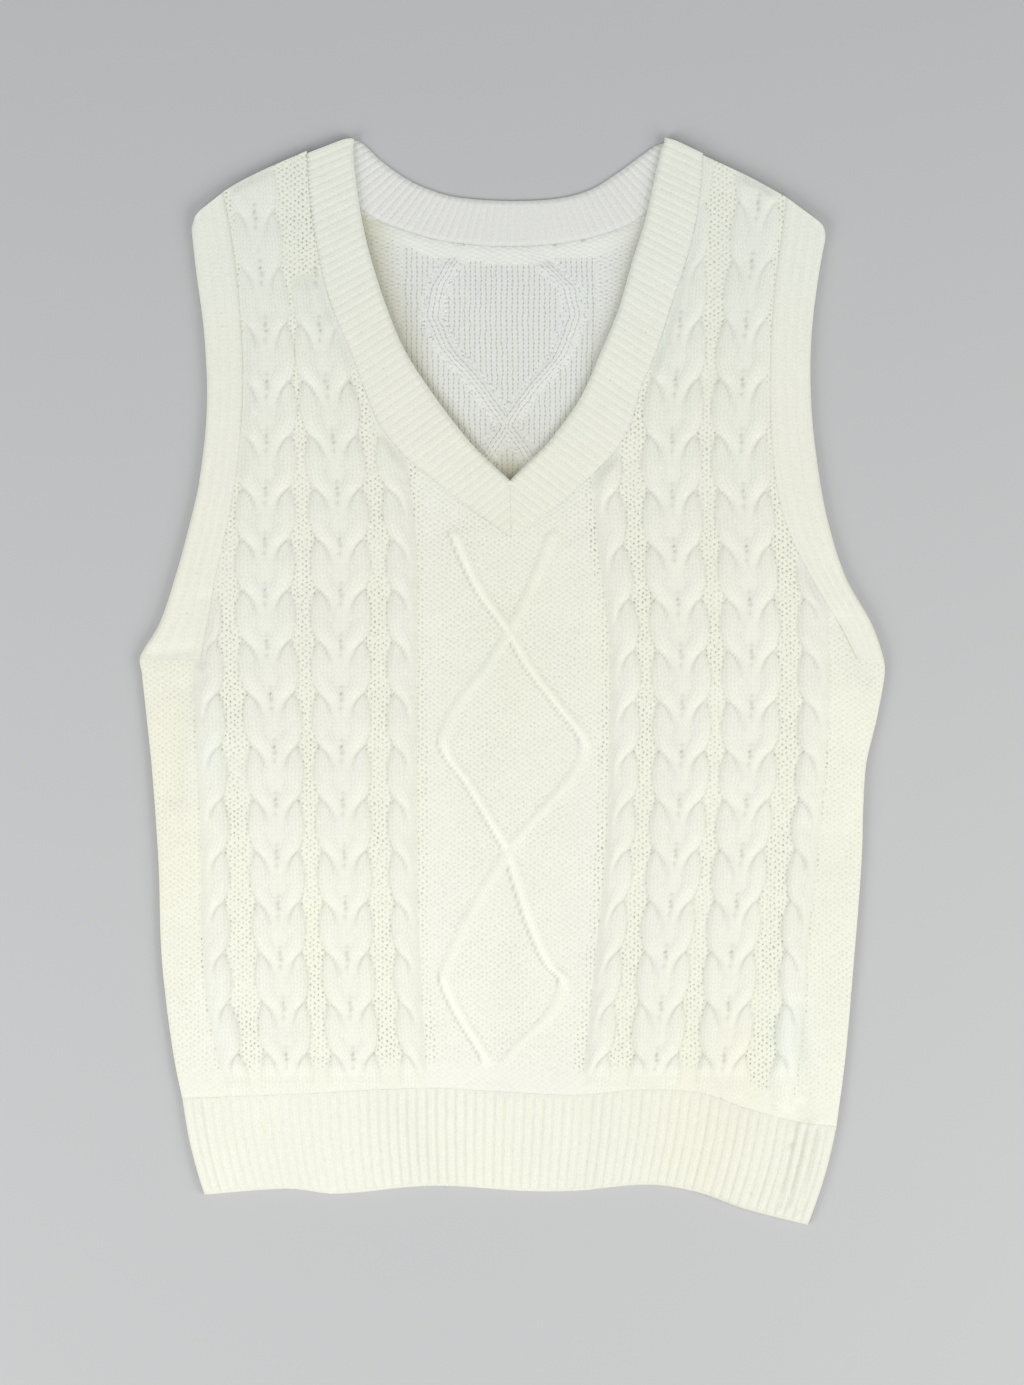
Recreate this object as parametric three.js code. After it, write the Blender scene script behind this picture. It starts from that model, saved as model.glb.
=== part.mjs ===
// A cable-knit V-neck sweater vest, laid flat on its back, in millimetres.
// X runs across the body, Y up to the shoulders, Z up from the surface that it lies on.
// The origin is under the middle of the whole outline. Left and right are as seen from above.
import * as THREE from "three";

// Thickness of the cloth and of the space between its layers
const backWall = 2.6;
const layerGap = 0.3;
const frontWall = 2.6;
const frontBase = backWall + layerGap;
const seamGap = 0.3;

// Levels where the cut changes
const hemSeamLevel = -250;
const underarmLevel = 12;
const neckPointLevel = 86;
const shoulderLevel = 305;
const hemBendReach = 60;
const shoulderBendReach = 50;

// Cables, cords and ribs, at their knitted size
const ropeHalfWidth = 9;
const horseshoeHalfWidth = 17;
const cableRise = 2.3;
const cordHalfWidth = 4;
const cordRise = 1.8;
const rowsPerTurn = 4;
const hemRibs = 64;
const backHemSteps = 30;
const hemRibRise = 0.9;
const neckRibPitch = 5.3;
const neckRibRise = 0.7;
const armRibs = 4;
const armRibRise = 0.5;
const sideRollWidth = 9;
const sideRollDrop = 1.5;
const seamDip = 0.5;
const freeEdgeRound = 1;
const mitreRun = 28;
const bandShares = [0, 0.1, 0.9, 1];
const armSeamTop = { left: 292.8, right: 289.5 };

// Spacing of the points in the panels
const cableEdgeMargin = 0.6;
const columnClearance = 1.6;
const columnSpacing = 0.6;
const backSteps = { side: 20, arm: 20, neck: 33 };
const backSideStart = 14;

// Outline at the sides, from the hem seam past the underarms to the shoulder tips
const sides = [
  { level: -268, left: -194.5, right: 194.5 },
  { level: -225, left: -203.5, right: 200 },
  { level: -168, left: -210.5, right: 205 },
  { level: -110, left: -212.5, right: 209.5 },
  { level: -53, left: -216.5, right: 212 },
  { level: -24, left: -219.5, right: 218.5 },
  { level: 4, left: -222.5, right: 223.5 },
  { level: 14, left: -223.5, right: 222.5 },
  { level: 34, left: -212, right: 215.5 },
  { level: 62, left: -202.5, right: 200 },
  { level: 91, left: -194.5, right: 190.5 },
  { level: 120, left: -188, right: 184.5 },
  { level: 163, left: -183.5, right: 179.5 },
  { level: 206, left: -185, right: 179.5 },
  { level: 250, left: -190.5, right: 185 },
  { level: 278, left: -193.5, right: 191 },
];

// Seams of the armhole bands
const armSeams = [
  { level: 8, left: -188, right: 209 },
  { level: 32, left: -183.5, right: 197 },
  { level: 63, left: -178, right: 178.5 },
  { level: 96, left: -170.7, right: 163.5 },
  { level: 132, left: -164.7, right: 156.5 },
  { level: 180, left: -161.7, right: 154.5 },
  { level: 230, left: -164.2, right: 156.8 },
  { level: 264, left: -168.3, right: 161.2 },
  { level: 294, left: -173.7, right: 165 },
];

// Shoulder line, from the left tip over the neck to the right tip
const shoulders = [
  { x: -193.5, y: 277 },
  { x: -173.7, y: 292.8 },
  { x: -157, y: 302.4 },
  { x: -136, y: 312 },
  { x: -113, y: 321.6 },
  { x: -94.5, y: 327 },
  { x: 91, y: 325 },
  { x: 114, y: 315 },
  { x: 141, y: 302.4 },
  { x: 158.7, y: 292.8 },
  { x: 176, y: 282.8 },
  { x: 190, y: 271 },
];

// Free edge of the front neckband, down to the V
const neckEdges = [
  { level: 120, left: -1.5, right: -1.5 },
  { level: 131, left: -13.5, right: 9.5 },
  { level: 144, left: -26.5, right: 22.5 },
  { level: 169, left: -45.8, right: 40.5 },
  { level: 196, left: -63.5, right: 52.5 },
  { level: 222, left: -74.8, right: 63.3 },
  { level: 251, left: -84.3, right: 71.7 },
  { level: 276, left: -90.3, right: 79.5 },
  { level: 300, left: -93.9, right: 84.9 },
  { level: 318, left: -95.5, right: 89 },
  { level: 327, left: -94.5, right: 91 },
];

// Seam of the front neckband
const neckSeams = [
  { level: 86, left: -0.8, right: -0.8 },
  { level: 99, left: -19.5, right: 19.5 },
  { level: 111, left: -36, right: 34.5 },
  { level: 123, left: -51, right: 47.5 },
  { level: 136, left: -66, right: 60.5 },
  { level: 153, left: -79.5, right: 70.5 },
  { level: 177, left: -89.7, right: 77.7 },
  { level: 198, left: -97.5, right: 86.5 },
  { level: 230, left: -110.5, right: 97 },
  { level: 263, left: -118, right: 107.5 },
  { level: 292, left: -122, right: 112.6 },
  { level: 316, left: -123.3, right: 114.3 },
];

// Stations of the back neckband, from its left shoulder end to its right one
const backNeck = [
  { edgeX: -94.5, edgeY: 327, seamX: -123.3, seamY: 316 },
  { edgeX: -89, edgeY: 321.6, seamX: -113, seamY: 302.4 },
  { edgeX: -79, edgeY: 312, seamX: -100.5, seamY: 290 },
  { edgeX: -65.7, edgeY: 302.4, seamX: -88, seamY: 280 },
  { edgeX: -52.5, edgeY: 295.8, seamX: -70.5, seamY: 272 },
  { edgeX: -34.5, edgeY: 290.4, seamX: -43.5, seamY: 264 },
  { edgeX: -5, edgeY: 288, seamX: -7.5, seamY: 260.4 },
  { edgeX: 25.5, edgeY: 289.2, seamX: 28.5, seamY: 262.2 },
  { edgeX: 46.5, edgeY: 294.6, seamX: 58.5, seamY: 268.8 },
  { edgeX: 63.3, edgeY: 304.8, seamX: 79.5, seamY: 279 },
  { edgeX: 76.5, edgeY: 314.4, seamX: 97.5, seamY: 292.8 },
  { edgeX: 91, edgeY: 325, seamX: 114.3, seamY: 315 },
];

// Seam above the hem rib, and the lower edge of the rib
const hemSeam = [
  { x: -197, y: -251 },
  { x: -127.5, y: -248.4 },
  { x: -51.3, y: -244.8 },
  { x: -4.5, y: -247.2 },
  { x: 41, y: -249 },
  { x: 76.5, y: -246 },
  { x: 112.5, y: -247.8 },
  { x: 139.5, y: -256.8 },
  { x: 171.3, y: -265.2 },
  { x: 194.5, y: -268 },
];
const hemEdge = [
  { x: -185, y: -309 },
  { x: -134.7, y: -305.4 },
  { x: -106, y: -308.4 },
  { x: -48.3, y: -303.6 },
  { x: 9.3, y: -306.8 },
  { x: 38, y: -306.6 },
  { x: 81.3, y: -303 },
  { x: 110, y: -307.2 },
  { x: 139, y: -317.4 },
  { x: 177.3, y: -327.3 },
];

// Centre lines of the cables, from hem to shoulder
const leftCables = [
  { level: -228, rope1: -169, shoe1: -135.5, shoe2: -95.5, rope2: -59.5 },
  { level: -192, rope1: -176, shoe1: -137.5, shoe2: -97.5, rope2: -62 },
  { level: -159, rope1: -178.5, shoe1: -139.5, shoe2: -99.5, rope2: -63.5 },
  { level: -99, rope1: -179, shoe1: -141.5, shoe2: -101, rope2: -65.5 },
  { level: -36, rope1: -181.5, shoe1: -143, shoe2: -102.5, rope2: -65.5 },
  { level: 24, rope1: -184, shoe1: -147.5, shoe2: -103, rope2: -65.5 },
  { level: 84, rope1: -186, shoe1: -148.5, shoe2: -103.5, rope2: -66.5 },
  { level: 144, rope1: -186, shoe1: -147.5, shoe2: -107.5, rope2: -73.5 },
  { level: 210, rope1: -186, shoe1: -148, shoe2: -115.5, rope2: -82 },
  { level: 279, rope1: -192, shoe1: -154.5, shoe2: -120, rope2: -88 },
];
const rightCables = [
  { level: -228, rope3: 51, shoe3: 86, shoe4: 126.5, rope4: 164.5 },
  { level: -192, rope3: 55, shoe3: 89, shoe4: 129.5, rope4: 168.5 },
  { level: -159, rope3: 58.5, shoe3: 92, shoe4: 131.5, rope4: 169.5 },
  { level: -99, rope3: 64, shoe3: 98, shoe4: 137.5, rope4: 175.5 },
  { level: -36, rope3: 66.5, shoe3: 101.5, shoe4: 142.5, rope4: 180.5 },
  { level: 24, rope3: 66.5, shoe3: 100.5, shoe4: 143, rope4: 181 },
  { level: 84, rope3: 59.5, shoe3: 96.5, shoe4: 140, rope4: 180 },
  { level: 144, rope3: 55, shoe3: 95.5, shoe4: 137, rope4: 178 },
  { level: 210, rope3: 58, shoe3: 100, shoe4: 139.5, rope4: 180 },
  { level: 279, rope3: 64, shoe3: 104, shoe4: 146.5, rope4: 187 },
];
const cables = [
  { name: "rope1", kind: "rope", hand: -1, rows: leftCables },
  { name: "shoe1", kind: "horseshoe", hand: 1, rows: leftCables },
  { name: "shoe2", kind: "horseshoe", hand: 1, rows: leftCables },
  { name: "rope2", kind: "rope", hand: 1, rows: leftCables },
  { name: "rope3", kind: "rope", hand: -1, rows: rightCables },
  { name: "shoe3", kind: "horseshoe", hand: 1, rows: rightCables },
  { name: "shoe4", kind: "horseshoe", hand: 1, rows: rightCables },
  { name: "rope4", kind: "rope", hand: 1, rows: rightCables },
];

// Levels of the cable crossings, which are closer together towards the hem
const crossings = [
  { turn: -8, left: -226.2, right: -226.8 },
  { turn: -4, left: -105, right: -104 },
  { turn: 0, left: 21, right: 15 },
  { turn: 4, left: 144, right: 144 },
  { turn: 7, left: 244.8, right: 249 },
];

// Centre lines of the two raised cords that cross in the middle panel
const lattice = [
  { level: -236, left: -12, right: -7 },
  { level: -223, left: -18, right: 0 },
  { level: -200, left: -32, right: 22.5 },
  { level: -180, left: -40.5, right: 30.9 },
  { level: -171, left: -39, right: 22.5 },
  { level: -144, left: -27, right: 10.5 },
  { level: -102, left: -2.7, right: -2.7 },
  { level: -81, left: -15, right: 10.5 },
  { level: -57, left: -29, right: 31.5 },
  { level: -37, left: -41.1, right: 43.5 },
  { level: -20, left: -37.5, right: 25 },
  { level: 6, left: -16.5, right: 9 },
  { level: 28.8, left: -1.5, right: -1.5 },
  { level: 54, left: -19.5, right: 11 },
  { level: 87, left: -34.5, right: 24 },
  { level: 104, left: -41, right: 31 },
];
const latticeTop = 96;
const latticeBottom = -236;

// Soft folds in the upper layer: a ridge or trough along a line, with its half width and height
const folds = [
  { name: "right of the outer rope", x1: 176, y1: -90, x2: 168, y2: -250, width: 7, rise: -0.9 },
  { name: "right hem wave", x1: 160, y1: -200, x2: 168, y2: -320, width: 14, rise: 1.6 },
  { name: "right underarm", x1: 196, y1: 34, x2: 212, y2: 4, width: 6, rise: -0.8 },
  { name: "right underarm bulge", x1: 200, y1: -10, x2: 205, y2: -70, width: 16, rise: 1.2 },
  { name: "left underarm", x1: -186, y1: 48, x2: -190, y2: -20, width: 6, rise: -0.8 },
  { name: "middle of the body", x1: 0, y1: -110, x2: -6, y2: -240, width: 9, rise: -0.7 },
];

// Colours of the yarn where the light falls on each piece
const frontColour = 0xeef0e3;
const bandColour = 0xf2f3ea;
const backColour = 0xdadddb;
const yarnRoughness = 0.95;

// Smooth curve through one column of a table, read at a place along another column
function curveOf(rows, along, column) {
  const places = rows.map((row) => row[along]);
  const values = rows.map((row) => row[column]);
  const last = rows.length - 1;
  const slopes = rows.map((row, i) => {
    const before = Math.max(i - 1, 0);
    const after = Math.min(i + 1, last);
    return (values[after] - values[before]) / (places[after] - places[before]);
  });
  return (place) => {
    if (place <= places[0]) {
      return values[0] + (place - places[0]) * slopes[0];
    }
    if (place >= places[last]) {
      return values[last] + (place - places[last]) * slopes[last];
    }
    const i = places.findIndex((each) => each > place) - 1;
    const span = places[i + 1] - places[i];
    const t = (place - places[i]) / span;
    const start = (1 + 2 * t) * (1 - t) ** 2 * values[i] + t * (1 - t) ** 2 * span * slopes[i];
    const end = t * t * (3 - 2 * t) * values[i + 1] + t * t * (t - 1) * span * slopes[i + 1];
    return start + end;
  };
}

const outline = { left: curveOf(sides, "level", "left"), right: curveOf(sides, "level", "right") };
const armSeam = { left: curveOf(armSeams, "level", "left"), right: curveOf(armSeams, "level", "right") };
const neckEdge = { left: curveOf(neckEdges, "level", "left"), right: curveOf(neckEdges, "level", "right") };
const neckSeam = { left: curveOf(neckSeams, "level", "left"), right: curveOf(neckSeams, "level", "right") };
const shoulderLine = curveOf(shoulders, "x", "y");
const hemSeamLine = curveOf(hemSeam, "x", "y");
const hemEdgeLine = curveOf(hemEdge, "x", "y");
const cord = { left: curveOf(lattice, "level", "left"), right: curveOf(lattice, "level", "right") };
const turnAt = {
  left: curveOf(crossings, "left", "turn"),
  right: curveOf(crossings, "right", "turn"),
};
const levelOfTurn = curveOf(crossings, "turn", "left");
const cableCentre = {};
for (const cable of cables) {
  cableCentre[cable.name] = curveOf(cable.rows, "level", cable.name);
}

function smooth(t) {
  const held = THREE.MathUtils.clamp(t, 0, 1);
  return held * held * (3 - 2 * held);
}

// Height of a two-strand rope: strands swing across each other once a turn, one over the other
function ropeHeight(across, turn, halfWidth, hand) {
  let height = 0;
  for (const strand of [0, 1]) {
    const angle = Math.PI * (turn + 0.5 + strand);
    const centre = 0.5 * halfWidth * Math.cos(angle);
    const lift = cableRise * (0.75 + 0.25 * hand * Math.sin(angle));
    const reach = (across - centre) / (0.55 * halfWidth);
    if (Math.abs(reach) < 1) {
      height = Math.max(height, lift * Math.sqrt(1 - reach * reach));
    }
  }
  return height;
}

// Height of a cable: one rope, or two mirrored ropes that open upward in a V
function cableHeight(cable, across, turn) {
  if (cable.kind === "rope") {
    return ropeHeight(across, turn, ropeHalfWidth, cable.hand);
  }
  const half = horseshoeHalfWidth / 2;
  const side = Math.sign(across) || 1;
  return ropeHeight(across * side - half, turn, half, -cable.hand);
}

// Height of the two lattice cords at a point of the middle panel
function latticeHeight(x, y) {
  if (y < latticeBottom || y > latticeTop) {
    return 0;
  }
  const reach = Math.min(Math.abs(x - cord.left(y)), Math.abs(x - cord.right(y))) / cordHalfWidth;
  return reach < 1 ? cordRise * Math.sqrt(1 - reach * reach) : 0;
}

// Height of the soft folds: a bell across each fold's line, fading past its ends
function foldHeight(x, y) {
  let height = 0;
  for (const fold of folds) {
    const runX = fold.x2 - fold.x1;
    const runY = fold.y2 - fold.y1;
    const share = ((x - fold.x1) * runX + (y - fold.y1) * runY) / (runX * runX + runY * runY);
    const held = THREE.MathUtils.clamp(share, 0, 1);
    const away = Math.hypot(x - fold.x1 - held * runX, y - fold.y1 - held * runY) / fold.width;
    height += fold.rise * Math.exp(-away * away);
  }
  return height;
}

// Drop of the upper layer where it turns down to the side folds
function sideRoll(distance) {
  const inside = THREE.MathUtils.clamp(1 - distance / sideRollWidth, 0, 1);
  return sideRollDrop * inside * inside;
}

// Height of the front panel's face at one of its points
function frontTop(point) {
  const belowArms = point.y < underarmLevel + 1;
  const fromSides = Math.min(point.x - outline.left(point.y), outline.right(point.y) - point.x);
  const roll = belowArms ? sideRoll(fromSides) : 0;
  const raised = point.relief * (1 - roll / sideRollDrop) + foldHeight(point.x, point.y);
  return frontBase + frontWall + raised - roll - (point.edge ? seamDip : 0);
}

// Columns of the front panel at a level: the same stitches all the way up
function columnsAt(level) {
  const columns = [];
  const add = (x, cable) => columns.push({ x, cable });
  const middleLeft = Math.min(cord.left(level), cord.right(level) - 0.2);
  const middleRight = Math.max(cord.right(level), cord.left(level) + 0.2);
  const addCable = (cable) => {
    const centre = cableCentre[cable.name](level);
    const half = cable.kind === "rope" ? ropeHalfWidth : horseshoeHalfWidth;
    const steps = cable.kind === "rope" ? 2 : 4;
    for (let i = -steps; i <= steps; i += 1) {
      const spread = Math.abs(i) === steps ? half + cableEdgeMargin : (half * Math.abs(i)) / steps;
      add(centre + Math.sign(i) * spread, cable);
    }
  };
  add((cableCentre.rope1(level) - ropeHalfWidth + outline.left(level)) / 2);
  cables.slice(0, 4).forEach(addCable);
  const between = (middleLeft + middleRight) / 2;
  const nearLeft = Math.min(middleLeft + cordHalfWidth, between - 0.05);
  const nearRight = Math.max(middleRight - cordHalfWidth, between + 0.05);
  add(middleLeft - cordHalfWidth);
  add(middleLeft);
  add(nearLeft);
  add(nearRight);
  add(middleRight);
  add(middleRight + cordHalfWidth);
  cables.slice(4).forEach(addCable);
  add((cableCentre.rope4(level) + ropeHalfWidth + outline.right(level)) / 2);
  return columns;
}

// Place of a level's row at a point across: straight in the body, bent to the hem and shoulders
function bentLevel(level, x) {
  const low = 1 - smooth((level - hemSeamLevel) / hemBendReach);
  const high = smooth((level - shoulderLevel + shoulderBendReach) / shoulderBendReach);
  return level + low * (hemSeamLine(x) - hemSeamLevel) + high * (shoulderLine(x) - shoulderLevel);
}

// A point on a boundary curve where a level's bent row meets it
function boundaryPoint(level, curve) {
  let x = curve(level);
  let y = level;
  for (let i = 0; i < 6; i += 1) {
    y = bentLevel(level, x);
    x = curve(y);
  }
  return { x, y };
}

// A row of front panel points between two boundary curves, with extra points put in
function panelRow(level, leftCurve, rightCurve, extras, allEdge) {
  const ends = [boundaryPoint(level, leftCurve), boundaryPoint(level, rightCurve)];
  const fixed = [...ends, ...extras.map((x) => ({ x, y: bentLevel(level, x) }))];
  const nominal = columnsAt(level);
  const row = fixed.map(({ x, y }) => ({ x, y, edge: true, relief: 0 }));
  nominal.forEach((column, index) => {
    const y = bentLevel(level, column.x);
    const here = columnsAt(y)[index];
    const clear = fixed.every((point) => Math.abs(here.x - point.x) > columnClearance);
    if (clear && here.x > ends[0].x && here.x < ends[1].x) {
      const turn = here.x < 0 ? turnAt.left(y) : turnAt.right(y);
      const across = here.cable ? here.x - cableCentre[here.cable.name](y) : 0;
      const relief = here.cable ? cableHeight(here.cable, across, turn) : latticeHeight(here.x, y);
      row.push({ x: here.x, y, edge: allEdge, relief, keep: index % 11 === 5 });
    }
  });
  row.sort((a, b) => a.x - b.x);
  const spaced = row.filter((point, i) => point.edge || point.x - row[i - 1].x > columnSpacing);
  const columnXs = nominal.map((column) => column.x);
  for (const point of spaced) {
    const next = columnXs.findIndex((x) => x > point.x);
    const after = next < 0 ? columnXs.length : next;
    const low = columnXs[after - 1] ?? columnXs[0] - 20;
    const high = columnXs[after] ?? columnXs[columnXs.length - 1] + 20;
    point.u = after - 1 + (point.x - low) / (high - low);
  }
  return spaced;
}

// Triangles between two rows of points, walked together from left to right
function zip(lower, upper, triangles) {
  let i = 0;
  let j = 0;
  while (i < lower.length - 1 || j < upper.length - 1) {
    const nextLow = lower[i + 1];
    const nextUp = upper[j + 1];
    const matched = nextLow && nextUp && Math.abs(nextLow.u - nextUp.u) < 0.3;
    if (matched) {
      const rising = lower[i].z + nextUp.z > nextLow.z + upper[j].z;
      if (rising) {
        triangles.push([lower[i], nextLow, nextUp], [lower[i], nextUp, upper[j]]);
      } else {
        triangles.push([lower[i], nextLow, upper[j]], [nextLow, nextUp, upper[j]]);
      }
      i += 1;
      j += 1;
    } else if (!nextUp || (nextLow && nextLow.u < nextUp.u)) {
      triangles.push([lower[i], nextLow, upper[j]]);
      i += 1;
    } else {
      triangles.push([lower[i], nextUp, upper[j]]);
      j += 1;
    }
  }
}

// A closed wall: the shaped top, a plain bottom with fewer points, and the rim between them
function wallFrom(strips, bottomZ) {
  const top = [];
  const bottom = [];
  for (const [lower, upper] of strips) {
    zip(lower, upper, top);
    const thin = (row) => row.filter((point) => point.edge || point.keep);
    zip(thin(lower), thin(upper), bottom);
  }
  const positions = [];
  const indices = [];
  const numbers = { top: new Map(), bottom: new Map() };
  const numberOf = (point, layer) => {
    if (!numbers[layer].has(point)) {
      numbers[layer].set(point, positions.length / 3);
      positions.push(point.x, point.y, layer === "top" ? point.z : bottomZ);
    }
    return numbers[layer].get(point);
  };
  const edges = new Map();
  for (const [a, b, c] of top) {
    const face = [a, b, c].map((point) => numberOf(point, "top"));
    indices.push(...face);
    for (const [from, to] of [[a, b], [b, c], [c, a]]) {
      edges.set(`${numberOf(from, "top")}_${numberOf(to, "top")}`, [from, to]);
    }
  }
  for (const [a, b, c] of bottom) {
    indices.push(numberOf(a, "bottom"), numberOf(c, "bottom"), numberOf(b, "bottom"));
  }
  for (const [from, to] of edges.values()) {
    const a = numberOf(from, "top");
    const b = numberOf(to, "top");
    if (!edges.has(`${b}_${a}`)) {
      const aLow = numberOf(from, "bottom");
      const bLow = numberOf(to, "bottom");
      indices.push(b, a, aLow, b, aLow, bLow);
    }
  }
  const geometry = new THREE.BufferGeometry();
  geometry.setAttribute("position", new THREE.Float32BufferAttribute(positions, 3));
  geometry.setIndex(indices);
  geometry.computeVertexNormals();
  return geometry;
}

// Strips between rows that follow each other
function stripsOf(rows) {
  return rows.slice(1).map((row, i) => [rows[i], row]);
}

// The front panel: body rows up to the underarms, then to the neck point, then two shoulders
function frontPanelGeometry() {
  const levels = [hemSeamLevel + seamGap];
  for (let turn = -8.5; turn < 8.7; turn += 1 / rowsPerTurn) {
    levels.push(levelOfTurn(turn));
  }
  levels.push(shoulderLevel);
  const half = (levels[9] - levels[8]) / 2;
  const bodyTop = underarmLevel;
  const neck = neckPointLevel - seamGap;
  const within = (low, high) => levels.filter((level) => level > low + half && level < high - half);
  const leftSeam = (y) => armSeam.left(y) + seamGap;
  const rightSeam = (y) => armSeam.right(y) - seamGap;
  const leftNeck = (y) => neckSeam.left(y) - seamGap;
  const rightNeck = (y) => neckSeam.right(y) + seamGap;
  const ledge = [leftSeam(bodyTop), rightSeam(bodyTop)];
  const neckX = neckSeam.left(neckPointLevel);

  const bottomRow = panelRow(levels[0], outline.left, outline.right, [], true);
  const bodyRow = (level) => panelRow(level, outline.left, outline.right, [], false);
  const body = within(levels[0], bodyTop).map(bodyRow);
  const ledgeRow = panelRow(bodyTop, outline.left, outline.right, ledge, false);
  const ledgeStart = ledgeRow.findIndex((point) => point.x === ledge[0]);
  const ledgeEnd = ledgeRow.findIndex((point) => point.x === ledge[1]);
  ledgeRow.forEach((point, i) => {
    point.edge = point.edge || i <= ledgeStart || i >= ledgeEnd;
  });
  const chest = within(bodyTop, neck).map((y) => panelRow(y, leftSeam, rightSeam, [], false));
  const neckRow = panelRow(neck, leftSeam, rightSeam, [neckX], false);
  const neckIndex = neckRow.findIndex((point) => point.x === neckX);
  const shoulderRows = (leftCurve, rightCurve) => [
    ...within(neck, shoulderLevel).map((y) => panelRow(y, leftCurve, rightCurve, [], false)),
    panelRow(shoulderLevel, leftCurve, rightCurve, [], true),
  ];
  const strips = [
    ...stripsOf([bottomRow, ...body, ledgeRow]),
    ...stripsOf([ledgeRow.slice(ledgeStart, ledgeEnd + 1), ...chest, neckRow]),
    ...stripsOf([neckRow.slice(0, neckIndex + 1), ...shoulderRows(leftSeam, leftNeck)]),
    ...stripsOf([neckRow.slice(neckIndex), ...shoulderRows(rightNeck, rightSeam)]),
  ];
  for (const point of new Set(strips.flat(2))) {
    point.z = frontTop(point);
  }
  return wallFrom(strips, frontBase);
}

// Rows of a ruled band: along its length, points across it from one edge to the other
function bandRows(lines, shares, heightAt) {
  return lines.map(([from, to], line) => {
    const isEnd = line === 0 || line === lines.length - 1;
    return shares.map((share, i) => {
      const x = THREE.MathUtils.lerp(from.x, to.x, share);
      const y = THREE.MathUtils.lerp(from.y, to.y, share);
      const edge = isEnd || i === 0 || i === shares.length - 1;
      return { x, y, z: heightAt(line, share, x, y), u: i, edge };
    });
  });
}

// Points evenly spaced along a curve that is given by a function of a share from 0 to 1
function evenPoints(place, count) {
  const fine = 400;
  const points = Array.from({ length: fine + 1 }, (_, i) => place(i / fine));
  const lengths = [0];
  for (let i = 1; i <= fine; i += 1) {
    const step = Math.hypot(points[i].x - points[i - 1].x, points[i].y - points[i - 1].y);
    lengths.push(lengths[i - 1] + step);
  }
  const total = lengths[fine];
  const even = Array.from({ length: count + 1 }, (_, k) => {
    const target = (total * k) / count;
    const i = Math.min(Math.max(lengths.findIndex((length) => length >= target), 1), fine);
    const t = (target - lengths[i - 1]) / (lengths[i] - lengths[i - 1]);
    return {
      x: THREE.MathUtils.lerp(points[i - 1].x, points[i].x, t),
      y: THREE.MathUtils.lerp(points[i - 1].y, points[i].y, t),
    };
  });
  return { total, even };
}

// Height of the neckband's face: alternate lines are crests and grooves, lower at both edges
function neckRibHeight(top, line, share) {
  const rib = line % 2 === 1 ? neckRibRise : 0;
  const atEdge = share === 0 || share === 1;
  return atEdge ? top + rib / 2 - seamDip : top + rib;
}

// Front neckband, one side: ribs square to the seam, ending at the free edge or at the mitre
function neckbandFrontGeometry(side) {
  const outward = side === "left" ? -1 : 1;
  const seamTop = neckSeams[neckSeams.length - 1].level;
  const seamAt = (share) => {
    const y = THREE.MathUtils.lerp(seamTop, neckPointLevel, share);
    return { x: neckSeam[side](y), y };
  };
  const length = evenPoints(seamAt, 1).total;
  const count = 2 * Math.round(length / neckRibPitch);
  const seam = evenPoints(seamAt, count).even;
  const edgeTop = neckEdges[neckEdges.length - 1].level;
  const edgeBottom = neckEdges[0].level;
  const mitreCount = Math.round((mitreRun / length) * count);
  const edge = evenPoints((share) => {
    const y = THREE.MathUtils.lerp(edgeTop, edgeBottom, share);
    return { x: neckEdge[side](y), y };
  }, count - mitreCount).even;
  const tip = edge[edge.length - 1];
  const root = seam[seam.length - 1];
  const half = seamGap / 2;
  const lines = seam.slice(0, count).map((point, i) => {
    const beyond = i - (count - mitreCount);
    const t = beyond / mitreCount;
    const mitre = {
      x: THREE.MathUtils.lerp(tip.x, root.x, t),
      y: THREE.MathUtils.lerp(tip.y, root.y, t),
    };
    const inner = beyond <= 0 ? edge[i] : mitre;
    const offset = inner.y < edgeBottom + 0.5 ? half : 0;
    return [point, { x: inner.x + outward * offset, y: inner.y }];
  });
  const ordered = outward < 0 ? lines : lines.map(([a, b]) => [b, a]);
  const heightAt = (line, share) => neckRibHeight(frontBase + frontWall, line, share);
  return wallFrom(stripsOf(bandRows(ordered, bandShares, heightAt).reverse()), frontBase);
}

// Back neckband, ribbed on the face that shows
function neckbandBackGeometry() {
  const stations = backNeck.map((row, i) => ({ ...row, i }));
  const curves = {};
  for (const column of ["edgeX", "edgeY", "seamX", "seamY"]) {
    curves[column] = curveOf(stations, "i", column);
  }
  const lastStation = stations.length - 1;
  const seamAt = (share) => ({
    x: curves.seamX(share * lastStation),
    y: curves.seamY(share * lastStation) + seamGap,
  });
  const edgeAt = (share) => ({
    x: curves.edgeX(share * lastStation),
    y: curves.edgeY(share * lastStation),
  });
  const count = 2 * Math.round(evenPoints(seamAt, 1).total / neckRibPitch);
  const seam = evenPoints(seamAt, count).even;
  const edge = evenPoints(edgeAt, count).even;
  const lines = seam.map((point, i) => [edge[i], point]);
  const heightAt = (line, share) => neckRibHeight(backWall - neckRibRise, line, share);
  return wallFrom(stripsOf(bandRows(lines, bandShares, heightAt)), 0);
}

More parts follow.
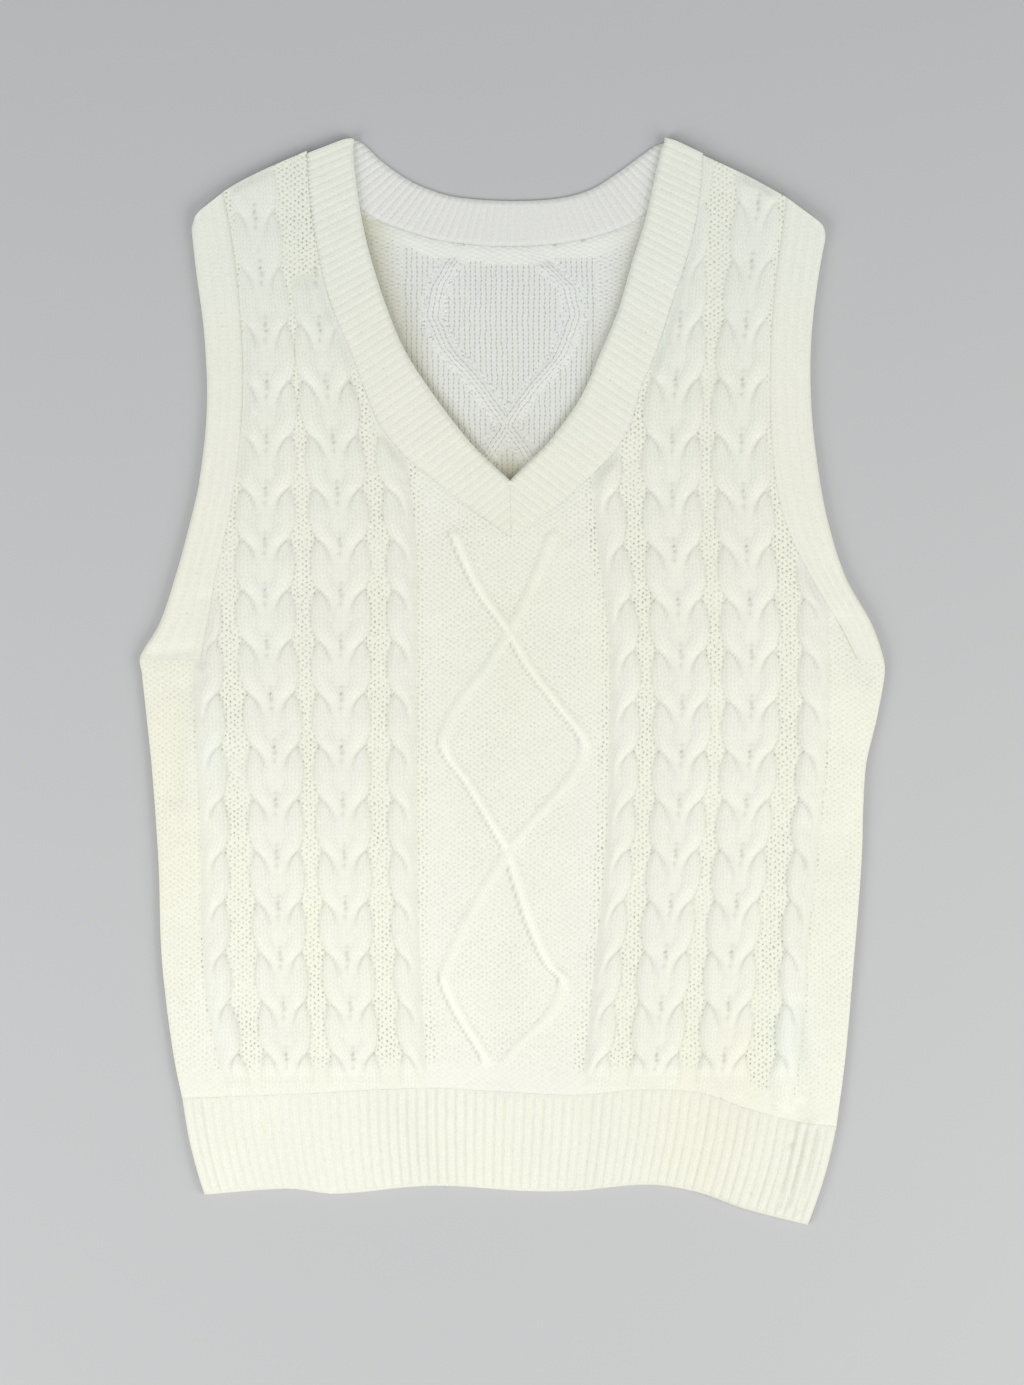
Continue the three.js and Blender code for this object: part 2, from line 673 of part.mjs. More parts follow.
// Armhole band of one layer: from the underarm to the shoulder, with ribs along it
function armbandGeometry(side, layer) {
  const low = underarmLevel + seamGap;
  const tip = side === "left" ? shoulders[0] : shoulders[shoulders.length - 1];
  const count = layer === "front" ? 22 : 14;
  const outward = side === "left" ? -1 : 1;
  const lines = Array.from({ length: count + 1 }, (_, i) => {
    const outerY = THREE.MathUtils.lerp(low, tip.y, i / count);
    const seamY = THREE.MathUtils.lerp(low, armSeamTop[side], i / count);
    const outer = { x: outline[side](outerY), y: outerY };
    const inner = { x: armSeam[side](seamY), y: seamY };
    return outward < 0 ? [outer, inner] : [inner, outer];
  });
  const ribPoints = layer === "front" ? 2 * armRibs : 1;
  const shares = Array.from({ length: ribPoints + 1 }, (_, i) => i / ribPoints);
  const heightAt = (line, share, x, y) => {
    if (layer === "back") {
      return backWall;
    }
    const rib = Math.round(share * ribPoints) % 2 === 1 ? armRibRise : 0;
    const fromFree = outward < 0 ? share : 1 - share;
    const rounding = fromFree === 0 ? freeEdgeRound : 0;
    const dip = fromFree === 1 ? seamDip : 0;
    return frontBase + frontWall + rib - rounding - dip + foldHeight(x, y);
  };
  return wallFrom(stripsOf(bandRows(lines, shares, heightAt)), layer === "front" ? frontBase : 0);
}

// Hem rib of one layer: ribs run from the seam down to the lower edge
function hemRibGeometry(layer) {
  const count = layer === "front" ? 2 * hemRibs : backHemSteps;
  const seamLeft = hemSeam[0].x;
  const seamRight = hemSeam[hemSeam.length - 1].x;
  const edgeLeft = hemEdge[0].x;
  const edgeRight = hemEdge[hemEdge.length - 1].x;
  const shares = layer === "front" ? [0, 0.12, 0.88, 1] : [0, 1];
  const rows = shares.map((share, rowIndex) => {
    const isEnd = rowIndex === 0 || rowIndex === shares.length - 1;
    return Array.from({ length: count + 1 }, (_, i) => {
      const across = i / count;
      const topX = THREE.MathUtils.lerp(seamLeft, seamRight, across);
      const lowX = THREE.MathUtils.lerp(edgeLeft, edgeRight, across);
      const topY = hemSeamLine(topX) - seamGap / 2;
      const x = THREE.MathUtils.lerp(lowX, topX, share);
      const y = THREE.MathUtils.lerp(hemEdgeLine(lowX), topY, share);
      const rib = i % 2 === 1 ? hemRibRise : 0;
      const roll = sideRoll(Math.min(across, 1 - across) * (edgeRight - edgeLeft));
      const rounding = share === 0 ? freeEdgeRound : 0;
      const dip = share === 1 ? seamDip : 0;
      const shaped = frontBase + frontWall + rib - roll - rounding - dip + foldHeight(x, y);
      const z = layer === "front" ? shaped : backWall;
      return { x, y, z, u: i, edge: isEnd || i === 0 || i === count, keep: i % 16 === 8 };
    });
  });
  return wallFrom(stripsOf(rows), layer === "front" ? frontBase : 0);
}

// Back panel: a plain wall with the same cut, open at the back neck seam
function backPanelGeometry() {
  const points = [];
  const add = (x, y) => points.push(new THREE.Vector2(x, y));
  const stepsBetween = (from, to, count, place) => {
    for (let i = 0; i <= count; i += 1) {
      const [x, y] = place(THREE.MathUtils.lerp(from, to, i / count));
      add(x, y);
    }
  };
  const hemLeft = hemSeam[0].x;
  const hemRight = hemSeam[hemSeam.length - 1].x;
  const sideLow = { left: hemSeamLine(hemLeft) + backSideStart, right: hemSeamLine(hemRight) + backSideStart };
  stepsBetween(hemLeft, hemRight, backHemSteps, (x) => [x, hemSeamLine(x) + seamGap]);
  stepsBetween(sideLow.right, underarmLevel, backSteps.side, (y) => [outline.right(y), y]);
  stepsBetween(underarmLevel, armSeamTop.right, backSteps.arm, (y) => [armSeam.right(y) - seamGap, y]);
  const stations = backNeck.map((row, i) => ({ ...row, i }));
  const neckX = curveOf(stations, "i", "seamX");
  const neckY = curveOf(stations, "i", "seamY");
  const last = stations.length - 1;
  stepsBetween(last, 0, backSteps.neck, (i) => [neckX(i), neckY(i)]);
  stepsBetween(armSeamTop.left, underarmLevel, backSteps.arm, (y) => [armSeam.left(y) + seamGap, y]);
  stepsBetween(underarmLevel, sideLow.left, backSteps.side, (y) => [outline.left(y), y]);
  return new THREE.ExtrudeGeometry(new THREE.Shape(points), { depth: backWall, bevelEnabled: false });
}

function yarn(colour) {
  return new THREE.MeshStandardMaterial({ color: colour, roughness: yarnRoughness, metalness: 0 });
}

function piece(name, geometry, colour) {
  const mesh = new THREE.Mesh(geometry, yarn(colour));
  mesh.name = name;
  return mesh;
}

const group = new THREE.Group();
group.name = "sweater_vest";
group.add(piece("back_panel", backPanelGeometry(), backColour));
group.add(piece("back_hem_rib", hemRibGeometry("back"), backColour));
group.add(piece("neckband_back", neckbandBackGeometry(), backColour));
group.add(piece("front_panel", frontPanelGeometry(), frontColour));
group.add(piece("front_hem_rib", hemRibGeometry("front"), bandColour));
for (const side of ["left", "right"]) {
  group.add(piece(`neckband_front_${side}`, neckbandFrontGeometry(side), bandColour));
  group.add(piece(`armband_${side}_front`, armbandGeometry(side, "front"), bandColour));
  group.add(piece(`armband_${side}_back`, armbandGeometry(side, "back"), backColour));
}

export default group;
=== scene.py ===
import math
from functools import partial

import bmesh
import bpy
import numpy as np
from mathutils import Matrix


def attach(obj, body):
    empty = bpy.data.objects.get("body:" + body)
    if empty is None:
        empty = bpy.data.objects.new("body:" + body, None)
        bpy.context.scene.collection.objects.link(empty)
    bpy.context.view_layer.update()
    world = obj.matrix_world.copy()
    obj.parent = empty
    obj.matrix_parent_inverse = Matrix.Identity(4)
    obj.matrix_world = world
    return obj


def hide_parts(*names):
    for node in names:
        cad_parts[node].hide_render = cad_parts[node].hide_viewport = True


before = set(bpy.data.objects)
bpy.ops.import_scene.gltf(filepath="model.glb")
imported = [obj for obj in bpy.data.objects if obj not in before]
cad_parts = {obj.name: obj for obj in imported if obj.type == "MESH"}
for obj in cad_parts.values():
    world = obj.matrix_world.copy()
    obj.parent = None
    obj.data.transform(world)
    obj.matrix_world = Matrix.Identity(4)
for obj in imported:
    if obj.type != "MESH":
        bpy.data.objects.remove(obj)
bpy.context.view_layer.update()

mm = 0.001

# Layers of cloth, from the surface up (mm)
cloth = {
    "backWall": 2.6,
    "layerGap": 0.3,
    "frontWall": 2.6,
    "seamGap": 0.05,
    "lap": 0.15,  # how far the upper pieces reach down into the space between the layers
    "seamGroove": 0.1,  # how far a seam sinks
    "seamWidth": 2.8,
    "sideRoll": 1.6,
    "sideRollWidth": 10.0,
}
backTop = cloth["backWall"]
frontBase = backTop + cloth["layerGap"]

# The cut of the vest (mm): level, left, right
cut = {
    "hemSeamLevel": -250.0,
    "underarmLevel": 12.0,
    "neckPointLevel": 86.0,
    "shoulderLevel": 305.0,
    "hemBend": 60.0,
    "shoulderBend": 50.0,
    "sides": [
        (-268, -194.5, 194.5), (-225, -203.5, 200), (-168, -210.5, 205), (-110, -212.5, 209.5),
        (-53, -216.5, 212), (-24, -219.5, 218.5), (4, -222.5, 223.5), (14, -223.5, 222.5),
        (34, -212, 215.5), (62, -202.5, 200), (91, -194.5, 190.5), (120, -188, 184.5),
        (163, -183.5, 179.5), (206, -185, 179.5), (250, -190.5, 185), (278, -193.5, 191),
    ],
    "armSeams": [
        (8, -188, 209), (32, -183.5, 197), (63, -178, 178.5), (96, -170.7, 163.5),
        (132, -164.7, 156.5), (180, -161.7, 154.5), (230, -164.2, 156.8), (264, -168.3, 161.2),
        (294, -173.7, 165),
    ],
    "neckEdges": [
        (120, -1.5, -1.5), (131, -13.5, 9.5), (144, -26.5, 22.5), (169, -45.8, 40.5),
        (196, -63.5, 52.5), (222, -74.8, 63.3), (251, -84.3, 71.7), (276, -90.3, 79.5),
        (300, -93.9, 84.9), (318, -95.5, 89), (327, -94.5, 91),
    ],
    "neckSeams": [
        (86, -0.8, -0.8), (99, -19.5, 19.5), (111, -36, 34.5), (123, -51, 47.5),
        (136, -66, 60.5), (153, -79.5, 70.5), (177, -89.7, 77.7), (198, -97.5, 86.5),
        (230, -110.5, 97), (263, -118, 107.5), (292, -122, 112.6), (316, -123.3, 114.3),
    ],
    "armSeamTop": {"left": 292.8, "right": 289.5},
    "shoulderTip": {"left": 277.0, "right": 271.0},
}

# Lines across the vest (mm): x, y
acrossLines = {
    "shoulders": [
        (-193.5, 277), (-173.7, 292.8), (-157, 302.4), (-136, 312), (-113, 321.6), (-94.5, 327),
        (91, 325), (114, 315), (141, 302.4), (158.7, 292.8), (176, 282.8), (190, 271),
    ],
    "hemSeam": [
        (-197, -251), (-127.5, -248.4), (-51.3, -244.8), (-4.5, -247.2), (41, -249),
        (76.5, -246), (112.5, -247.8), (139.5, -256.8), (171.3, -265.2), (194.5, -268),
    ],
    "hemEdge": [
        (-185, -309), (-134.7, -305.4), (-106, -308.4), (-48.3, -303.6), (9.3, -306.8),
        (38, -306.6), (81.3, -303), (110, -307.2), (139, -317.4), (177.3, -327.3),
    ],
}

# Stations of the back neckband (mm): free edge x and y, seam x and y
backNeckStations = [
    (-94.5, 327, -123.3, 316), (-89, 321.6, -113, 302.4), (-79, 312, -100.5, 290),
    (-65.7, 302.4, -88, 280), (-52.5, 295.8, -70.5, 272), (-34.5, 290.4, -43.5, 264),
    (-5, 288, -7.5, 260.4), (25.5, 289.2, 28.5, 262.2), (46.5, 294.6, 58.5, 268.8),
    (63.3, 304.8, 79.5, 279), (76.5, 314.4, 97.5, 292.8), (91, 325, 114.3, 315),
]

# Cable centre lines (mm): level, then rope, horseshoe, horseshoe, rope from the outside in
cableLines = {
    "left": [
        (-228, -169, -135.5, -95.5, -59.5), (-192, -176, -137.5, -97.5, -62),
        (-159, -178.5, -139.5, -99.5, -63.5), (-99, -179, -141.5, -101, -65.5),
        (-36, -181.5, -143, -102.5, -65.5), (24, -184, -147.5, -103, -65.5),
        (84, -186, -148.5, -103.5, -66.5), (144, -186, -147.5, -107.5, -73.5),
        (210, -186, -148, -115.5, -82), (279, -192, -154.5, -120, -88),
    ],
    "right": [
        (-228, 51, 86, 126.5, 164.5), (-192, 55, 89, 129.5, 168.5), (-159, 58.5, 92, 131.5, 169.5),
        (-99, 64, 98, 137.5, 175.5), (-36, 66.5, 101.5, 142.5, 180.5), (24, 66.5, 100.5, 143, 181),
        (84, 59.5, 96.5, 140, 180), (144, 55, 95.5, 137, 178), (210, 58, 100, 139.5, 180),
        (279, 64, 104, 146.5, 187),
    ],
}

# Crossings of the cables: turn, level on the left, level on the right
crossings = [(-8, -226.2, -226.8), (-4, -105, -104), (0, 21, 15), (4, 144, 144), (7, 244.8, 249)]

cables = {
    "ropeHalf": 8.0,
    "horseshoeHalf": 15.6,
    "upperScale": 1.06,  # the cables are wider at the chest than at the hem
    "lowerScale": 0.93,
    "shoulderLoss": 0.2,
    "rise": 2.95,
    "shoulderRise": 0.55,  # what is left of the rise at the shoulders
    "fadesAbove": {"shoe2": 232.0, "rope2": 226.0},
    "emerging": 0.42,  # height of a strand where it comes out from under, as a share of the rise
    "dipping": 0.74,  # and where it dips under again
    "merge": 1.5,  # how softly neighbours run into each other towards the middle (mm)
    "lean": {"start": 1.35, "shoe": 0.7, "rope": 1.0},  # below 1 a strand's ridge is nearer the middle
    "early": 0.07,  # a crossing starts a little above its level (turns)
    "pinch": 0.836,  # outer edge of a strand at a crossing, and its bulge between two (shares)
    "bulge": 0.236,
    "tuck": 0.18,  # how far a strand reaches under its neighbour
    "middle": -0.06,
    # border between the two strands on the way down from a crossing (shares)
    "border": [
        (0, 0.836), (0.05, 0.70), (0.12, 0.58), (0.22, 0.47), (0.34, 0.395), (0.5, 0.32),
        (0.7, 0.215), (0.85, 0.11), (1.0, -0.05),
    ],
    "walesPerStrand": 3,
    "lineWidth": 0.8,  # soft line of painted shade beside each strand (mm)
    "lineAway": 0.3,  # and how far outside the strand's edge it lies (mm)
    "lastCrossing": -230.0,
    "lowEnd": 0.3,  # height that is left below the last crossing (share)
    "ropeTurns": {"rope1": 1, "rope2": -1, "rope3": 1, "rope4": -1},  # side of the scalloped edge
}

# The two crossing cords of the middle panel
lattice = {
    "half": 3.8,
    "rise": 1.3,
    # how much lighter the cords' tops are: a painted highlight
    "bright": 0.42,
    "quietShare": 0.5,  # the cords that climb to the right are flatter
    "top": 92.0,
    "bottom": -232.0,
    # level, left cord, right cord (mm)
    "rows": [
        (-236, -12, -7), (-223, -18, 0), (-200, -32, 22.5), (-180, -40.5, 30.9),
        (-171, -39, 22.5), (-144, -27, 10.5), (-106, -5.0, -1.4), (-102, -2.7, -2.7),
        (-98, -5.0, 0.8), (-81, -15, 15.5), (-60, -27.5, 34), (-46, -38, 42.5),
        (-36, -41.1, 43.2), (-16, -33.5, 28.5), (6, -16.5, 11.5), (25, -4.0, 0.7),
        (28.8, -1.5, -1.5), (32.6, -4.2, 0.4), (54, -19.5, 11), (87, -34.5, 24), (104, -41, 31),
    ],
}

# Stitch sizes (mm), how far they wander, and how plain the pits are away from the cables
stitches = {
    "purlWale": 2.4, "course": 2.7, "purlCourse": 3.2, "bandCourse": 2.7, "wander": 0.1,
    "quietPits": 0.42,
}

# Ribs: how many or how far apart (mm), and how high
ribs = {
    "hemCount": 67,
    "hemRise": 0.85,
    "neckPitch": 5.3,
    "neckRise": 0.17,
    "backNeckRise": 0.32,
    "armCount": 4,
    "armRise": 0.36,
}

# Soft folds (mm): start x, y, end x, y, half width, height
creases = [
    (176, -90, 168, -190, 6, -1.0),
    (166, -168, 163, -250, 9, 1.5),
    (172, -195, 177, -262, 3.5, -1.3),
    (172.5, -255, 167, -278, 2.4, -1.4),
    (167, -278, 160.5, -314, 2.2, -1.2),
    (175, -270, 166.5, -313, 1.9, -1.1),
    (183, -270, 173, -317, 2.0, -1.0),
    (-198, -6, -202, -70, 5, -1.1),
    (-184, -8, -186, -80, 8, 0.9),
    (197, 34, 213, 2, 5, -1.0),
    (200, -10, 205, -70, 16, 1.3),
    (-186, 48, -190, -20, 6, -0.9),
    (-193, 18, -222, 15, 4, -0.7),
    (0, -110, -6, -240, 9, -0.8),
    (-60, -255, -40, -310, 8, -0.8),
    (48, -250, 44, -306, 7, -0.9),
    (-150, -40, -158, -180, 12, 0.5),
    (120, 60, 128, -60, 14, 0.5),
    (-120, 120, -128, 210, 12, 0.4),
]


def curveOf(rows, column, along=0):
    # A smooth curve through the rows: cubic between them, with slopes taken across each row's neighbours
    places = np.array([row[along] for row in rows], float)
    values = np.array([row[column] for row in rows], float)
    before = np.maximum(np.arange(len(rows)) - 1, 0)
    after = np.minimum(np.arange(len(rows)) + 1, len(rows) - 1)
    slopes = (values[after] - values[before]) / (places[after] - places[before])

    def at(place):
        place = np.asarray(place, float)
        i = np.clip(np.searchsorted(places, place, side="right") - 1, 0, len(rows) - 2)
        span = places[i + 1] - places[i]
        t = (place - places[i]) / span
        inside = (
            (1 + 2 * t) * (1 - t) ** 2 * values[i]
            + t * (1 - t) ** 2 * span * slopes[i]
            + t * t * (3 - 2 * t) * values[i + 1]
            + t * t * (t - 1) * span * slopes[i + 1]
        )
        below = values[0] + (place - places[0]) * slopes[0]
        above = values[-1] + (place - places[-1]) * slopes[-1]
        return np.where(place < places[0], below, np.where(place > places[-1], above, inside))

    return at


outline = {"left": curveOf(cut["sides"], 1), "right": curveOf(cut["sides"], 2)}
armSeam = {"left": curveOf(cut["armSeams"], 1), "right": curveOf(cut["armSeams"], 2)}
neckEdge = {"left": curveOf(cut["neckEdges"], 1), "right": curveOf(cut["neckEdges"], 2)}
neckSeam = {"left": curveOf(cut["neckSeams"], 1), "right": curveOf(cut["neckSeams"], 2)}
shoulderLine = curveOf(acrossLines["shoulders"], 1)
hemSeamLine = curveOf(acrossLines["hemSeam"], 1)
hemEdgeLine = curveOf(acrossLines["hemEdge"], 1)
cord = {"left": curveOf(lattice["rows"], 1), "right": curveOf(lattice["rows"], 2)}
turnAt = {"left": curveOf(crossings, 0, 1), "right": curveOf(crossings, 0, 2)}
cableCentre = {
    "rope1": curveOf(cableLines["left"], 1),
    "shoe1": curveOf(cableLines["left"], 2),
    "shoe2": curveOf(cableLines["left"], 3),
    "rope2": curveOf(cableLines["left"], 4),
    "rope3": curveOf(cableLines["right"], 1),
    "shoe3": curveOf(cableLines["right"], 2),
    "shoe4": curveOf(cableLines["right"], 3),
    "rope4": curveOf(cableLines["right"], 4),
}
cableOrder = ["rope1", "shoe1", "shoe2", "rope2", "rope3", "shoe3", "shoe4", "rope4"]


def smooth(t):
    # S curve from 0 to 1: three times the square less twice the cube
    held = np.clip(t, 0, 1)
    return held * held * (3 - 2 * held)


def turnOf(name, y):
    # Turns of a cable at a level, from the crossings on its side of the vest
    return turnAt["left" if cableOrder.index(name) < 4 else "right"](y)


def halfOf(name, y):
    # Half width of a cable at a level
    half = cables["ropeHalf"] if name.startswith("rope") else cables["horseshoeHalf"]
    upper = smooth((np.asarray(y, float) + 190) / 230)
    scale = cables["lowerScale"] + (cables["upperScale"] - cables["lowerScale"]) * upper
    return half * (scale - cables["shoulderLoss"] * smooth((y - 165) / 80))


def roundOver(distance, width):
    # Quarter circle: 0 at the edge, 1 from the width inwards
    inside = np.clip(distance / width, 0, 1)
    return np.sqrt(1 - (1 - inside) ** 2)


def softNoise(x, y, scale, seed):
    # Sum of slow sine waves in several directions, between about -1 and 1
    total = np.zeros(np.broadcast(x, y).shape)
    for k in range(5):
        angle = seed * 1.7 + k * 2.399
        wave = scale * (0.7 + 0.22 * k)
        along = x * math.cos(angle) + y * math.sin(angle)
        total = total + np.sin(along * 2 * math.pi / wave + seed * 3.1 + k)
    return total / 3.2


def creaseHeight(x, y):
    # Bell across each crease's line, fading past its ends
    height = np.zeros(np.broadcast(x, y).shape)
    for x1, y1, x2, y2, width, rise in creases:
        runX, runY = x2 - x1, y2 - y1
        share = np.clip(((x - x1) * runX + (y - y1) * runY) / (runX**2 + runY**2), 0, 1)
        away = np.hypot(x - x1 - share * runX, y - y1 - share * runY) / width
        height = height + rise * np.exp(-away * away)
    return height


def halvesOf(name):
    # A horseshoe is two mirrored halves from its middle line; a rope is one from its straight edge
    return [cables["ropeTurns"][name]] if name.startswith("rope") else [-1, 1]


def shareAcross(name, sign, x, y):
    # Place across a half, as a share of its width, and that width
    half = halfOf(name, y)
    isRope = name.startswith("rope")
    width = half * (2 if isRope else 1)
    return (sign * (x - cableCentre[name](y)) + (half if isRope else 0)) / width, width


def borderAt(way):
    # Border between the two strands of a half, on the way (0 to 1) down from a crossing
    return np.interp(way, *np.array(cables["border"]).T)


def strandSpan(way, outer, isRope):
    # Low and high edge of a strand on its way down from a crossing. The outer strand bulges and
    # sweeps to the middle; the inner one, its follower, narrows and dips under.
    border = borderAt(way)
    under = smooth((way - 0.45) / 0.25)
    least = 0.0 if isRope else cables["middle"]
    if outer:
        high = cables["pinch"] + cables["bulge"] * np.sin(np.pi * np.clip(way, 0, 1)) ** 0.75
        return np.maximum(border - cables["tuck"] * (1 - under), least), high
    return np.full(np.shape(way), least), np.maximum(border + cables["tuck"] * under, 0.05)


def strandHeight(share, way, outer, isRope):
    # A strand's height as a share of the rise: a round back across it, leaning to one side, that
    # comes up from under its neighbour as a quarter sine wave and goes down as another
    low, high = strandSpan(way, outer, isRope)
    lean = cables["lean"]["rope" if isRope else "shoe"]
    if outer:
        lean = cables["lean"]["start"] + (lean - cables["lean"]["start"]) * smooth(way)
    reach = 2 * np.clip((share - low) / (high - low), 0, 1) ** lean - 1
    start = cables["emerging"] if outer else cables["dipping"]
    lift = start + (1 - start) * np.sin(np.pi * (way + 1 - outer) / 2)
    within = smooth((share + 0.08) / 0.46) if isRope else share >= 0
    return lift * np.clip(1 - np.abs(reach) ** 2.2, 0, 1) ** 0.7 * within


def cableField(x, y):
    # Height above the ground, which strand is on top (-1 for none), and the soft lines of painted
    # shade: from each outer pinch inwards and down along the strand on top, and at the feet.
    height, paintedShading = np.zeros(x.shape), np.zeros(x.shape)
    winner = np.full(x.shape, -1)
    calm = smooth((y - cables["lastCrossing"]) / 9 + 1)
    calm = cables["lowEnd"] + (1 - cables["lowEnd"]) * calm
    flat = 1 - (1 - cables["shoulderRise"]) * smooth((y - 175) / 80)
    for index, name in enumerate(cableOrder):
        ended = calm * flat * smooth((cables["fadesAbove"].get(name, math.inf) - y) / 14 + 1)
        isRope = name.startswith("rope")
        turn = turnOf(name, y) - cables["early"]
        way = np.ceil(turn) - turn
        merge = 0.05 + cables["merge"] * smooth((way - 0.25) / 0.4)
        strong = 1 - smooth((way - 0.12) / 0.45)
        pinched = np.exp(-((way / 0.08) ** 2)) + np.exp(-(((1 - way) / 0.12) ** 2))
        for number, sign in enumerate(halvesOf(name)):
            share, width = shareAcross(name, sign, x, y)
            for outer in (0, 1):
                raised = cables["rise"] * ended * strandHeight(share, way, outer, isRope)
                near = np.clip(1 - np.abs(raised - height) / merge, 0, 1)
                near = near * (np.minimum(raised, height) > 0.1)
                on = raised > height
                height = np.where(on, raised, height) + merge / 4 * near * near
                winner = np.where(on, index * 4 + number * 2 + outer, winner)

            def bell(place):
                away = (share - place) * width - cables["lineAway"]
                return ended * np.exp(-((away / cables["lineWidth"]) ** 2))

            edge = strandSpan(way, 1, isRope)[1]
            paintedShading = np.maximum(paintedShading, bell(borderAt(way)) * strong * (share > 0))
            paintedShading = np.maximum(paintedShading, bell(edge) * (0.25 + 0.45 * pinched))
            if isRope:
                paintedShading = np.maximum(paintedShading, 0.1 * bell(-0.04))
    return height, np.where(height > 0.12, winner, -1), paintedShading


# How a cord on top is told from the strands, which count from 0
cordCodes = {"left": 40, "right": 41}


def latticeField(x, y, rows):
    # Height of the two cords, round on top and flatter where they climb to the right, which one is
    # nearer,
    # and their painted shading: painted shade at the left foot of each and a painted highlight on its
    # top
    left, right = rows["left"](y), rows["right"](y)
    nearLeft = np.abs(x - left) <= np.abs(x - right)
    slopeLeft = rows["left"](y + 3) - rows["left"](y - 3)
    slopeRight = rows["right"](y + 3) - rows["right"](y - 3)
    climbs = smooth(np.where(nearLeft, slopeLeft, slopeRight) / 5 + 0.35)
    away = np.where(nearLeft, x - left, x - right) / lattice["half"]
    fade = smooth((rows["top"] - y) / 6) * smooth((y - rows["bottom"]) / 6)
    fade = fade * (1 - (1 - lattice["quietShare"]) * climbs)
    dome = np.clip(1 - away * away, 0, 1)
    raised = lattice["rise"] * dome * fade
    line = np.exp(-(((away + 1) * lattice["half"] / 0.8) ** 2)) * fade * (1 - 0.6 * climbs)
    line = line - lattice["bright"] * np.sqrt(dome) * fade * (1 - 0.45 * climbs)
    nearer = np.where(nearLeft, cordCodes["left"], cordCodes["right"])
    return raised, np.where(raised > 0.2, nearer, -1), line


def reliefField(x, y, rows):
    # Cables and cords together: height, what is on top, and the soft lines of painted shade and
    # highlight
    cableHeight, cableWinner, cableLine = cableField(x, y)
    cordHeight, cordWinner, cordLine = latticeField(x, y, rows)
    onCord = cordHeight > cableHeight
    height = np.maximum(cableHeight, cordHeight)
    winner = np.where(onCord, cordWinner, cableWinner)
    return height, winner, cableLine + cordLine * (cableHeight < 0.3)


frontLattice = {**cord, "top": lattice["top"], "bottom": lattice["bottom"]}

# The back's cords keep crossing all the way up (mm)
backCords = {"crossing": 28.8, "pitch": 130.8, "reach": 42.0, "middle": -1.5}


def backCord(sign):
    # A wave of straight runs between crossings
    def at(y):
        phase = (np.asarray(y, float) - backCords["crossing"]) / backCords["pitch"]
        return sign * backCords["reach"] * (1 - np.abs(1 - 2 * (phase % 1))) + backCords["middle"]

    return at


backLattice = {"left": backCord(-1), "right": backCord(1), "top": 250.0, "bottom": -236.0}


def stitchCoords(xCentre, yCentre, xCorner, yCorner, rows):
    # Stitch places of each face's corners: wales across, courses up, following the strand on top.
    # Purl is 1 on the ground between the cables and 0 on the knitted strands.
    # Its pits are plainer in the middle and at the sides than beside the cables.
    winner = reliefField(xCentre, yCentre, rows)[1][:, None]
    wander = stitches["wander"]
    wale = xCorner / stitches["purlWale"] + wander * softNoise(xCorner, yCorner, 60, 1)
    pitch = np.where(winner < 0, stitches["purlCourse"], stitches["course"])
    course = yCorner / pitch + wander * softNoise(xCorner, yCorner, 45, 2)
    ropes = [cableCentre[name](yCentre) for name in cableOrder if name.startswith("rope")]
    inMiddle = (xCentre > ropes[1] + 14) & (xCentre < ropes[2] - 14)
    atSide = (xCentre < ropes[0] - 9) | (xCentre > ropes[3] + 9)
    plainness = np.where(inMiddle | atSide, stitches["quietPits"], 1.0)
    plainness = plainness * (0.8 + 0.3 * softNoise(xCentre, yCentre, 55, 11))
    lowEnd = smooth((yCentre - hemSeamLine(xCentre) - 10) / 10)
    purl = np.where(winner < 0, np.clip(plainness * lowEnd, 0.08, 1)[:, None], 0.0)
    for index, name in enumerate(cableOrder):
        nextCrossing = np.ceil(turnOf(name, yCentre) - cables["early"])[:, None]
        way = np.clip(nextCrossing - turnOf(name, yCorner) + cables["early"], 0, 1)
        for number, sign in enumerate(halvesOf(name)):
            share = shareAcross(name, sign, xCorner, yCorner)[0]
            for outer in (0, 1):
                low, high = strandSpan(way, outer, name.startswith("rope"))
                own = cables["walesPerStrand"] * (share - low) / (high - low) + 20 * index
                wale = np.where(winner == index * 4 + number * 2 + outer, own, wale)
    for side, code in cordCodes.items():
        own = (xCorner - rows[side](yCorner)) / lattice["half"] + 200
        wale = np.where(winner == code, own, wale)
    return wale, course, purl[:, 0]


# Columns across the panel, in each stretch between the edges of the cables
columnPlan = {"side": 20, "rope": 14, "shoe": 26, "gap": 6, "middle": 64}
closeBy = 0.25  # points this close to a boundary curve move onto it (mm)


def stretchesOf(plan):
    # From the left outline to the right one: low edge, high edge and number of columns
    stretches = []
    edge = lambda y: outline["left"](y) - 3
    for index, name in enumerate(cableOrder):
        kind = "rope" if name.startswith("rope") else "shoe"
        reach = 1.17 if kind == "rope" else 1.09
        low = lambda y, name=name, reach=reach, before=edge: np.maximum(
            cableCentre[name](y) - reach * halfOf(name, y), before(y) + 1.0
        )
        high = lambda y, name=name, reach=reach: cableCentre[name](y) + reach * halfOf(name, y)
        between = "side" if index == 0 else "middle" if index == 4 else "gap"
        stretches += [(edge, low, plan[between]), (low, high, plan[kind])]
        edge = high
    stretches.append((edge, lambda y: outline["right"](y) + 3, plan["side"]))
    return stretches


def columnPlaces(y, stretches):
    # Each column keeps its share of its stretch, at the level of its own points
    x = np.empty(y.shape)
    start = 0
    for low, high, count in stretches:
        own = y[:, start : start + count]
        shares = np.arange(count) / count
        x[:, start : start + count] = low(own) + (high(own) - low(own)) * shares
        start += count
    x[:, -1] = stretches[-1][1](y[:, -1])
    return x


def bentLevel(level, x):
    # A course of the panel: straight in the body, bent to the hem and to the shoulders
    low = 1 - smooth((level - cut["hemSeamLevel"]) / cut["hemBend"])
    high = smooth((level - cut["shoulderLevel"] + cut["shoulderBend"]) / cut["shoulderBend"])
    return (
        level
        + low * (hemSeamLine(x) - cut["hemSeamLevel"])
        + high * (shoulderLine(x) - cut["shoulderLevel"])
    )


